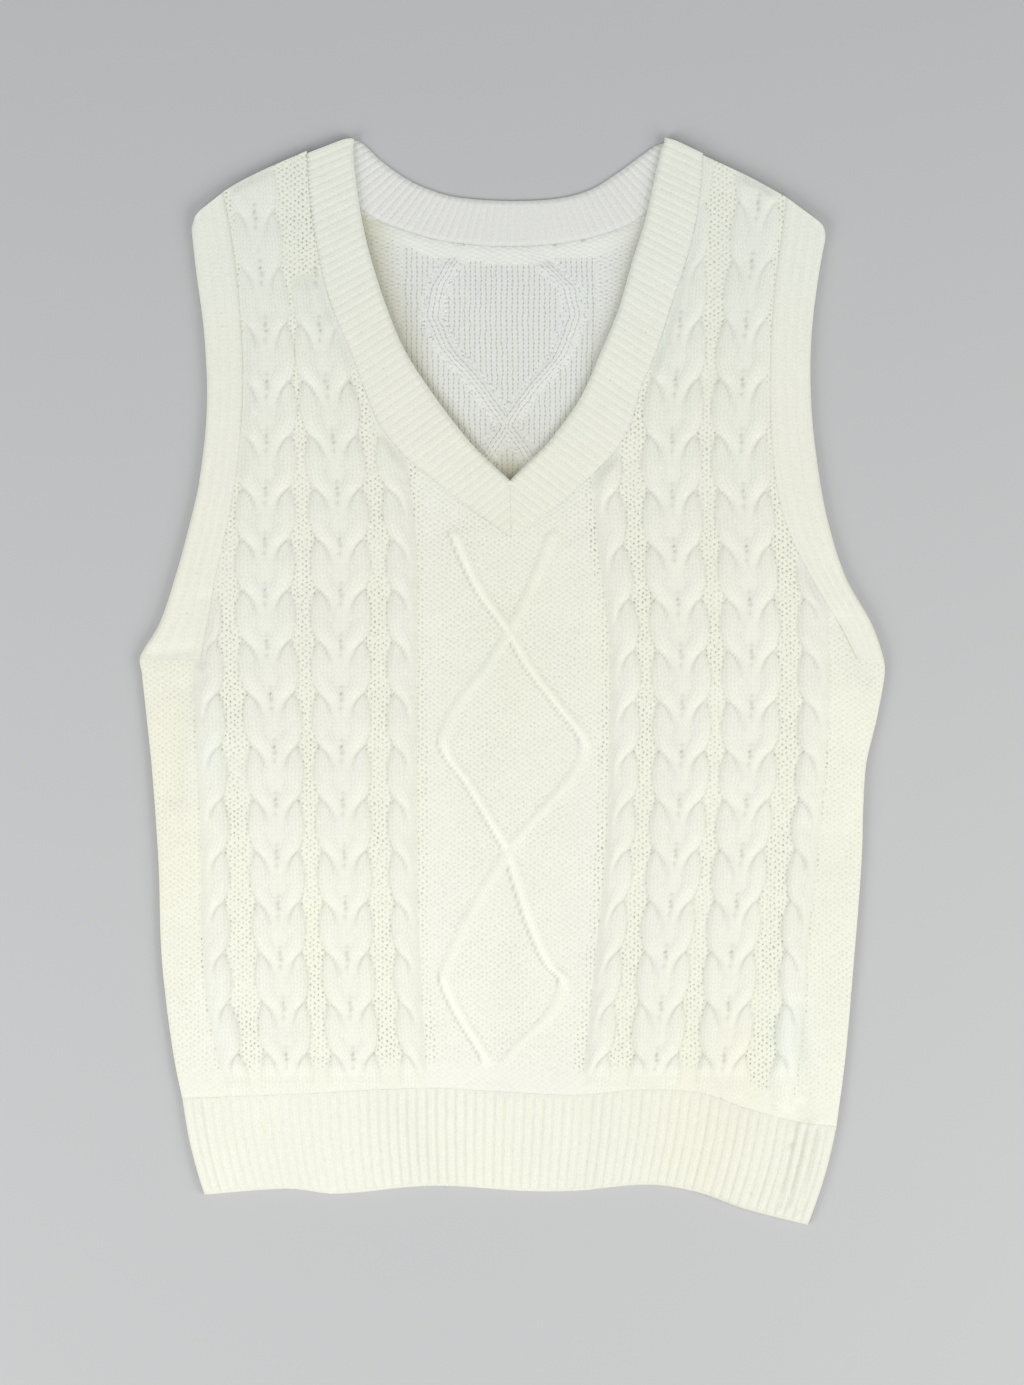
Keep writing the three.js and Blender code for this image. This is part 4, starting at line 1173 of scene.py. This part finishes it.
def shadowInside(x, y):
    # Share of shadow beside the two front edges, wider further up, and round the point of the V
    fromLeft = np.clip(x - neckEdge["left"](y), 0, 99)
    fromRight = np.clip(neckEdge["right"](y) - x, 0, 99)
    upper = smooth((y - 175) / 40)
    look = openingShade
    leftReach = look["leftReach"][0] + look["leftReach"][1] * upper
    rightReach = look["rightReach"][0] + look["rightReach"][1] * upper
    shade = look["left"] * np.exp(-((fromLeft / leftReach) ** 2))
    shade = np.maximum(shade, look["right"] * np.exp(-((fromRight / rightReach) ** 2)))
    fromPoint = np.hypot(x + 1.5, (y - 120) / 1.3)
    point = look["point"] * np.exp(-((fromPoint / look["pointReach"]) ** 2))
    point = point + look["round"] * np.exp(-((fromPoint / look["roundReach"]) ** 2))
    return np.clip(np.maximum(shade, point), 0, 1), point


def insideStitches(x, y, neckLine):
    # Stitch places of the inside: plain wales that lean with the cords in a band round each, with
    # purl pits beside them and outside them, and none in the strip under the neck seam
    cornerX, cornerY = cornersOf(x), cornersOf(y)
    centreX, centreY = cornerX.mean(axis=1), cornerY.mean(axis=1)
    left, right = ghostLines(centreY)
    nearLeft = np.abs(centreX - left) < np.abs(centreX - right)
    away = np.abs(np.where(nearLeft, centreX - left, centreX - right))
    inBand = away[:, None] < ghost["band"]
    fromCord = cornerX - np.where(nearLeft[:, None], *ghostLines(cornerY))
    wale = cornerX / backPanel["insideWale"] + 0.12 * softNoise(cornerX, cornerY, 50, 9)
    wale = np.where(inBand, fromCord / ghost["wale"] + 100.0, wale)
    course = cornerY / stitches["course"] + np.where(inBand, 0.3 * fromCord, 0)
    beside = np.exp(-(((away - ghost["beside"]) / 1.6) ** 2))
    outer = (centreX < -66) | (centreX > 50)
    purl = np.where(outer, 0.5, np.where(beside > 0.5, 0.9 * beside, 0.0))
    stripEnd = backPanel["plainStrip"] + 1.5 * softNoise(centreX, centreY, 30, 12)
    purl = np.where(neckLine(centreX) - centreY > stripEnd, purl, 0.05)
    return {"wale": wale, "course": course, "purl": purl}


def insideOf(x, y, neckLine):
    # Inside of the back: height, stitches and tint. The cords are soft ridges, sunk along the neck
    # seam, and the wool has painted shadow beside the V, is lighter on the strip and has a painted
    # highlight on the ridges.
    left, right = ghostLines(y)
    away = np.where(np.abs(x - left) < np.abs(x - right), x - left, x - right)
    ridge = np.exp(-((away / ghost["half"]) ** 2))
    strip = smooth((neckLine(x) - y - backPanel["plainStrip"]) / 4)
    height = backPanel["insideLevel"] + ghost["rise"] * ridge * strip
    height = height + 0.12 * softNoise(x, y, 24, 6) - 0.35 * (1 - roundOver(neckLine(x) - y, 2.5))
    shade, point = shadowInside(x, y)
    shade = shade[..., None]
    # Painted shadow beside the front edges and round the point; then lighter and warmer on the strip,
    # painted shade at the point and a painted highlight on the ridges
    tint = tintOf(x, y, yarnColours["inside"]) * (1 - shade) + np.array(yarnColours["shadow"]) * shade
    tint = tint * (1 + 0.05 * (1 - strip[..., None]) * np.array([1.0, 0.9, 0.2]))
    tint = tint * (1 - 0.08 * np.clip(point - 0.4, 0, 1) + 0.045 * ridge * strip)[..., None]
    return height, {**insideStitches(x, y, neckLine), "tint": tint}


backNeckRows = [(i, *row) for i, row in enumerate(backNeckStations)]
backNeck = {
    label: curveOf(backNeckRows, column)
    for column, label in enumerate(("edgeX", "edgeY", "seamX", "seamY"), start=1)
}


def makeBackPanel():
    # Two grids with a face on each side: cables pressed into the underside, and the inside, which
    # has its own height in the neck opening and is flat under the front
    fine = np.linspace(0, len(backNeckStations) - 1, 300)
    neckX, neckY = backNeck["seamX"](fine), backNeck["seamY"](fine)
    neckLine = lambda x: np.interp(x, neckX, neckY)
    low, under = cut["hemSeamLevel"] + cloth["seamGap"], cut["underarmLevel"]
    finer, top = backPanel["neckFrom"], cut["shoulderLevel"]
    bodyLevels = levelsBetween(low, under, backPanel["bodyStep"])
    lowChest = levelsBetween(under, finer, backPanel["bodyStep"])
    chestLevels = np.concatenate([lowChest[:-1], levelsBetween(finer, top, backPanel["neckStep"])])
    body, chest = bodyAndChest(bodyLevels, chestLevels, backPanel["plan"])
    chest["y"] = np.minimum(chest["y"], neckLine(chest["x"]))
    patches = []
    for grid, edges in ((body, outline), (chest, armEdges)):
        x, y = grid["x"], grid["y"]
        relief, _, paintedShading = reliefField(x, y, backLattice)
        fromSide = np.minimum(awayFrom(x, y, edges["left"], 1), awayFrom(x, y, edges["right"], -1))
        fromSeam = np.minimum(fromSide, grid["level"] - cut["hemSeamLevel"])
        fade = roundOver(np.minimum(fromSeam, neckLine(x) - y), backPanel["seamWidth"])
        raised = np.clip(relief * backPanel["pressed"] * fade, 0, backPanel["ground"])
        # The underside takes the strands' painted shade, weaker
        patch = finishPatch(grid, backPanel["ground"] - raised, backLattice, "body", 0.12 * paintedShading)
        height, patch["farSide"] = insideOf(x, y, neckLine)
        leftSeam, rightSeam = neckSeam["left"](y), neckSeam["right"](y)
        inNeck = (leftSeam - 8 < x) & (x < rightSeam + 8) & (y > cut["neckPointLevel"])
        patch["far"] = np.where(inNeck, height, backTop)
        patches.append(patch)
    for key in ("z", "far"):
        patches[1][key][0] = np.interp(patches[1]["x"][0], body["x"][-1], patches[0][key][-1])
    return buildShell("backPanelKnit", patches, None, [bodyWool, insideWool])


dress(*makeBackPanel(), "back_panel", "knit_body", [])
print("back panel ready")


# Ribbed bands


def ribShape(position, rise):
    # Round crest with a narrow groove on each side; position 0 to 1 across one rib
    return rise * np.abs(np.sin(np.pi * position)) ** 0.8


def bandPatch(x, y, z, ribPlace, along, tint):
    # Stitch places of a ribbed band: one wale to a rib, purl in the grooves
    place = cornersOf(ribPlace)
    centre = place.mean(axis=1)
    inRib = centre - np.floor(centre)
    purl = ((inRib < 0.13) | (inRib > 0.87)).astype(float)
    within = (place - np.floor(centre)[:, None] - 0.13) / 0.74
    wale = np.floor(centre)[:, None] + np.clip(within, -0.2, 1.2)
    return {"x": x, "y": y, "z": z, "wale": wale, "course": cornersOf(along), "purl": purl, "tint": tint}


def ribNumber(position, count):
    # Which rib a place is on; the far end belongs to the last one
    return np.floor(np.minimum(position, count - 1e-6))


hemRib = {
    "seamEnds": (-198.2, 194.5),  # x of the ends of the seam and of the lower edge (mm)
    "lowEnds": (-185.0, 177.3),
    "height": 58.0,
    "span": 370.0,
    "bow": 1.6,
    "front": {"columnsPerRib": 8, "rowStep": 1.7},
    "back": {"columnsPerRib": 6, "rowStep": 2.4},
    "uneven": 0.16,
    "pressed": 0.65,
    "level": 0.5,
    "edgeDrop": 1.5,
    "grooveShade": 0.032,
    "castOn": 1.9,  # line above the lower edge (mm), and its shade
    "castOnShade": 0.06,
    "rightShade": 0.03,
    # x, reach (mm), painted shade in the grooves
    "darkerAt": [(-52, 44, 0.1), (-186, 9, 0.06), (20, 40, 0.03), (176, 14, 0.05)],
}


def makeHemRib(layer):
    # A grid with ribs across it and rows from the lower edge up to the seam
    look, count = hemRib[layer], ribs["hemCount"]
    across = np.linspace(0, 1, count * look["columnsPerRib"] + 1)
    seamX, lowX = (
        ends[0] + across * (ends[1] - ends[0]) for ends in (hemRib["seamEnds"], hemRib["lowEnds"])
    )
    seamY = hemSeamLine(seamX) - cloth["seamGap"] / 2
    lowY = hemEdgeLine(lowX)
    share = np.linspace(0, 1, round(hemRib["height"] / look["rowStep"]) + 1)[:, None]
    x = lowX + (seamX - lowX) * share - hemRib["bow"] * np.sin(np.pi * share) * np.cos(np.pi * across)
    y = lowY + (seamY - lowY) * share
    position = np.broadcast_to(across * count, x.shape)
    number = ribNumber(position, count)
    own = 1 + hemRib["uneven"] * np.sin(number * 12.9898 + 4) * np.sin(number * 4.1)
    rise = ribShape(position - number, ribs["hemRise"]) * own
    up, down = share * hemRib["height"], (1 - share) * hemRib["height"]
    along = up / 2.6 + 0.1 * np.sin(number * 2.3)
    edge, seam = roundOver(up, 2.6), roundOver(down, cloth["seamWidth"])
    if layer == "back":
        z = np.clip(hemRib["pressed"] - rise, 0, 9) + 0.4 * (1 - edge)
        # Painted shade along the seam
        tint = tintOf(x, y, yarnColours["band"], 0.03 * (1 - seam))
        patch = bandPatch(x, y, z, position, along, tint)
        return buildShell("backHemRibKnit", [patch], backTop, [ribWool])
    roll = 1 - roundOver(np.minimum(across, 1 - across) * hemRib["span"], cloth["sideRollWidth"])
    fade = (0.35 + 0.65 * edge) * (0.25 + 0.75 * seam) * (1 - 0.6 * roll)
    z = frontBase + cloth["frontWall"] + (rise - hemRib["level"]) * fade
    z = z + creaseHeight(x, y) * (0.4 + 0.6 * edge) * (1 - 0.6 * roll)
    z = z + 0.3 * softNoise(x, y * 0.3, 60, 7) * fade * smooth((1 - share) * 4)
    z = z - hemRib["edgeDrop"] * (1 - edge) - cloth["seamGroove"] * (1 - seam)
    z = z - cloth["sideRoll"] * roll
    # Painted shade in the grooves between the ribs, more at the places below, and over the right end;
    # and a dark line above the lower edge
    strong = hemRib["grooveShade"] + 0 * x
    for darkX, reach, more in hemRib["darkerAt"]:
        strong = strong + more * np.exp(-(((x - darkX) / reach) ** 2))
    shade = strong * (1 - np.abs(np.sin(np.pi * position))) ** 2.5 * smooth(up / 3)
    shade = shade + hemRib["castOnShade"] * np.exp(-(((up - hemRib["castOn"]) / 0.9) ** 2))
    shade = shade + hemRib["rightShade"] * smooth((x - 70) / 60)
    patch = bandPatch(x, y, z, position, along, tintOf(x, y, yarnColours["band"], shade))
    return buildShell("frontHemRibKnit", [patch], frontBase - cloth["lap"], [ribWool])


for layer, node, rests in (("front", "front_hem_rib", ["back_hem_rib"]), ("back", "back_hem_rib", [])):
    dress(*makeHemRib(layer), node, "knit_rib", rests)
print("hem ribs ready")


def evenAlong(place, shares):
    # Points at even distances along a curve given by a function of a share from 0 to 1
    x, y = place(np.linspace(0, 1, 600))
    lengths = np.concatenate([[0], np.cumsum(np.hypot(np.diff(x), np.diff(y)))])
    want = np.clip(shares, 0, 1) * lengths[-1]
    return np.interp(want, lengths, x), np.interp(want, lengths, y), lengths[-1]


neckband = {
    "columnsPerRib": 8, "rows": 18, "mitreRun": 28.0, "edgeLift": 0.5, "uneven": 0.14,
    "edgeDrop": 1.3, "insideLevel": 1.9, "seamStitch": 2.7, "dots": {"left": 0.4, "right": 0.14},
}


def neckbandEnds(side, u):
    # Seam and inner ends of each rib line along one side of the front neckband. Past the start of
    # the mitre the inner ends run down it, from the tip of the V to its root.
    seamLow, seamTop = (float(cut["neckSeams"][k][0]) for k in (0, -1))
    edgeLow, edgeTop = (float(cut["neckEdges"][k][0]) for k in (0, -1))

    def downAlong(curve, top, low):
        return lambda s: (curve(top + (low - top) * s), top + (low - top) * s)

    seamX, seamY, length = evenAlong(downAlong(neckSeam[side], seamTop, seamLow), u)
    start = 1 - neckband["mitreRun"] / length
    edgeX, edgeY, _ = evenAlong(downAlong(neckEdge[side], edgeTop, edgeLow), u / start)
    beyond = np.clip((u - start) / (1 - start), 0, 1)
    rootX, tipX = float(neckSeam[side](seamLow)), float(neckEdge[side](edgeLow))
    outward = -1 if side == "left" else 1
    edgeX = np.where(beyond > 0, tipX + (rootX - tipX) * beyond, edgeX)
    edgeY = np.where(beyond > 0, edgeLow + (seamLow - edgeLow) * beyond, edgeY)
    edgeX = edgeX + np.where(edgeY < edgeLow + 0.5, outward * cloth["seamGap"] / 2, 0)
    return seamX, seamY, edgeX, edgeY, beyond, length


def neckGrid(seamX, seamY, edgeX, edgeY, places):
    # A neckband's grid from the seam to the free edge, with rib and stitch places
    share = np.linspace(0, 1, neckband["rows"])[:, None]
    width = np.hypot(edgeX - seamX, edgeY - seamY)
    position = np.broadcast_to(places, (neckband["rows"], len(places)))
    number = ribNumber(position, places[-1])
    return {
        "x": seamX + (edgeX - seamX) * share,
        "y": seamY + (edgeY - seamY) * share,
        "share": share,
        "fromSeam": share * width,
        "fromEdge": (1 - share) * width,
        "position": position,
        "number": number,
        "along": share * width / stitches["bandCourse"] + 0.1 * np.sin(number * 2.3),
    }


def makeNeckbandFront(side):
    # A strip of round crests that ends in the mitre at the V, with dark dots along its seam
    length = neckbandEnds(side, np.linspace(0, 1, 3))[5]
    count = round(length / ribs["neckPitch"])
    u = np.linspace(0, 1, count * neckband["columnsPerRib"] + 1)
    seamX, seamY, edgeX, edgeY, beyond, length = neckbandEnds(side, u)
    grid = neckGrid(seamX, seamY, edgeX, edgeY, u * count)
    x, y, number = grid["x"], grid["y"], grid["number"]
    own = 1 + neckband["uneven"] * np.sin(number * 7.3 + 2)
    rise = ribShape(grid["position"] - number, ribs["neckRise"]) * own
    seam = roundOver(grid["fromSeam"], cloth["seamWidth"])
    edge = roundOver(np.where(beyond > 0, grid["fromEdge"] + 0.8, grid["fromEdge"]), 2.2)
    fade = (0.3 + 0.7 * seam) * (0.45 + 0.55 * edge)
    z = frontBase + cloth["frontWall"] + rise * fade + neckband["edgeLift"] * grid["share"]
    z = z + 0.15 * softNoise(x, y, 30, 8)
    z = z - cloth["seamGroove"] * (1 - seam) - neckband["edgeDrop"] * (1 - edge)
    dotted = 0.5 + 0.5 * np.cos(2 * np.pi * u * length / neckband["seamStitch"])
    strong = neckband["dots"][side] * (0.25 + 0.75 * smooth((y - 215) / 70))
    dots = strong * dotted**2 * np.exp(-((grid["fromSeam"] / 1.3) ** 2))
    # Painted shade along the seam, with the dark dots on it
    tint = tintOf(x, y, yarnColours["band"], 0.03 * (1 - seam) + dots)
    patch = bandPatch(x, y, z, grid["position"], grid["along"], tint)
    return buildShell(f"neckbandFront{side.title()}Knit", [patch], frontBase - cloth["lap"], [ribWool])


def makeNeckbandBack():
    # The same strip between the two curves of the back neck, seen from its inside
    last = len(backNeckStations) - 1
    edgeAt = lambda s: (backNeck["edgeX"](s * last), backNeck["edgeY"](s * last))
    seamAt = lambda s: (backNeck["seamX"](s * last), backNeck["seamY"](s * last) + cloth["seamGap"])
    count = round(evenAlong(seamAt, np.zeros(1))[2] / ribs["neckPitch"])
    u = np.linspace(0, 1, count * neckband["columnsPerRib"] + 1)
    grid = neckGrid(*evenAlong(seamAt, u)[:2], *evenAlong(edgeAt, u)[:2], u * count)
    rise = ribShape(grid["position"] - grid["number"], ribs["backNeckRise"])
    seam, edge = roundOver(grid["fromSeam"], 2.5), roundOver(grid["fromEdge"], 2.2)
    z = neckband["insideLevel"] + rise * (0.35 + 0.65 * seam) * (0.45 + 0.55 * edge)
    z = z - 0.5 * (1 - seam) - 0.9 * (1 - edge)
    # Painted shade along the seam
    tint = tintOf(grid["x"], grid["y"], yarnColours["backBand"], 0.16 * (1 - seam))
    patch = bandPatch(grid["x"], grid["y"], z, grid["position"], grid["along"], tint)
    return buildShell("neckbandBackKnit", [patch], 0.0, [ribWool])


neckRests = ["back_panel", "neckband_back"]
for side in ("left", "right"):
    dress(*makeNeckbandFront(side), f"neckband_front_{side}", "knit_rib", neckRests, (290, 31))
dress(*makeNeckbandBack(), "neckband_back", "knit_rib", [], (255, 32))
print("neckbands ready")

armband = {
    "columns": 20, "rowStep": 1.6, "edgeDrop": 1.5, "pressed": 0.45,
    "dots": {"left": 0.17, "right": 0.1}, "dotPitch": 4.1,
}


def makeArmband(side, layer):
    # Rows from the underarm to the shoulder, columns from the free edge to the seam
    low, tipY = cut["underarmLevel"] + cloth["seamGap"], cut["shoulderTip"][side]
    share = np.linspace(0, 1, round((tipY - low) / armband["rowStep"]) + 1)
    outerY = low + (tipY - low) * share
    innerY = low + (cut["armSeamTop"][side] - low) * share
    outerX, innerX = outline[side](outerY), armSeam[side](innerY)
    across = np.linspace(0, 1, armband["columns"] + 1)
    x = outerX[:, None] + (innerX - outerX)[:, None] * across
    y = outerY[:, None] + (innerY - outerY)[:, None] * across
    width = np.abs(innerX - outerX)[:, None]
    position = np.broadcast_to(across * ribs["armCount"], x.shape)
    rise = ribShape(position % 1.0, ribs["armRise"])
    fromSeam = (1 - across) * width
    edge, seam = roundOver(across * width, 3.0), roundOver(fromSeam, cloth["seamWidth"])
    fade = (0.3 + 0.7 * seam) * (0.3 + 0.7 * edge)
    # Painted shade along the seam
    shade = 0.03 * (1 - seam)
    if layer == "front":
        z = frontBase + cloth["frontWall"] + (rise + creaseHeight(x, y)) * fade
        z = z - armband["edgeDrop"] * (1 - edge) - cloth["seamGroove"] * (1 - seam)
        dotted = 0.7 + 0.3 * np.cos(2 * np.pi * y / armband["dotPitch"])
        dotted = armband["dots"][side] * smooth((y - 60) / 140) * dotted
        shade = shade + dotted * np.exp(-((fromSeam / 1.2) ** 2))
        far = frontBase - cloth["lap"]
    else:
        z = np.clip(armband["pressed"] - rise * fade + 0.5 * (1 - edge), 0, 9)
        far = backTop
    tint = tintOf(x, y, yarnColours["band"], shade)
    patch = bandPatch(x, y, z, position, y / stitches["bandCourse"], tint)
    return buildShell(f"armband{side.title()}{layer.title()}Knit", [patch], far, [ribWool])


for side in ("left", "right"):
    for layer, rests in (("front", [f"armband_{side}_back"]), ("back", [])):
        dress(*makeArmband(side, layer), f"armband_{side}_{layer}", "knit_rib", rests, (285, 35))
print("armhole bands ready")

# Pale floor and soft studio light (m, W)
studio = {
    "floorReach": 12.0,
    "floor": (0.52, 0.525, 0.53, 1.0),
    "floorGrain": (0.5, 0.5, 0.5, 1.0),
    "world": (0.95, 0.97, 1.0, 1.0),
    "worldStrength": 0.435,
    # name, place, size, power, colour
    "lamps": [
        ("leftLamp", (-1.25, -0.75, 1.05), 1.1, 15.6, (1.0, 0.99, 0.97)),
        ("rightLamp", (1.25, -0.65, 1.05), 1.1, 16.6, (1.0, 0.985, 0.95)),
        ("topLamp", (0.1, 0.1, 2.4), 1.2, 4.4, (0.97, 0.985, 1.0)),
    ],
}


def makeFloor():
    # A plain square under the vest, with a faint grain in its paint
    mesh = bpy.data.meshes.new("studioFloor")
    corners = studio["floorReach"] * np.array([(-1, -1, 0), (1, -1, 0), (1, 1, 0), (-1, 1, 0)], float)
    mesh.from_pydata(corners, [], [(0, 1, 2, 3)])
    floor = bpy.data.objects.new("studioFloor", mesh)
    bpy.context.scene.collection.objects.link(floor)
    paint = bpy.data.materials.new("paleFloor")
    paint.use_nodes = True
    tree = paint.node_tree
    place = tree.nodes.new("ShaderNodeTexCoord").outputs["Object"]
    grain = noiseOf(tree, place, 90.0, 4.0)
    grain = calc(tree, "MULTIPLY", grain, 0.12)
    shade = mixColour(tree, "MIX", grain, studio["floor"], studio["floorGrain"])
    shader = tree.nodes["Principled BSDF"]
    shader.inputs["Roughness"].default_value = 0.85
    feed(tree, shader.inputs["Base Color"], shade)
    mesh.materials.append(paint)


def addLamp(name, place, size, power, colour):
    # A square soft light that looks at the middle of the vest
    lamp = bpy.data.lights.new(name, "AREA")
    lamp.shape = "SQUARE"
    lamp.size = size
    lamp.energy = power
    lamp.color = colour
    holder = bpy.data.objects.new(name, lamp)
    bpy.context.scene.collection.objects.link(holder)
    holder.location = place
    holder.rotation_euler = (-holder.location).to_track_quat("-Z", "Y").to_euler()


def makeStudio():
    # The floor, the lamps and an even pale light from all round
    makeFloor()
    for lamp in studio["lamps"]:
        addLamp(*lamp)
    world = bpy.data.worlds.new("studioWorld")
    world.use_nodes = True
    back = world.node_tree.nodes["Background"]
    back.inputs["Color"].default_value = studio["world"]
    back.inputs["Strength"].default_value = studio["worldStrength"]
    bpy.context.scene.world = world
    bpy.context.scene.view_settings.view_transform = "Standard"


makeStudio()
print("floor and lights ready")
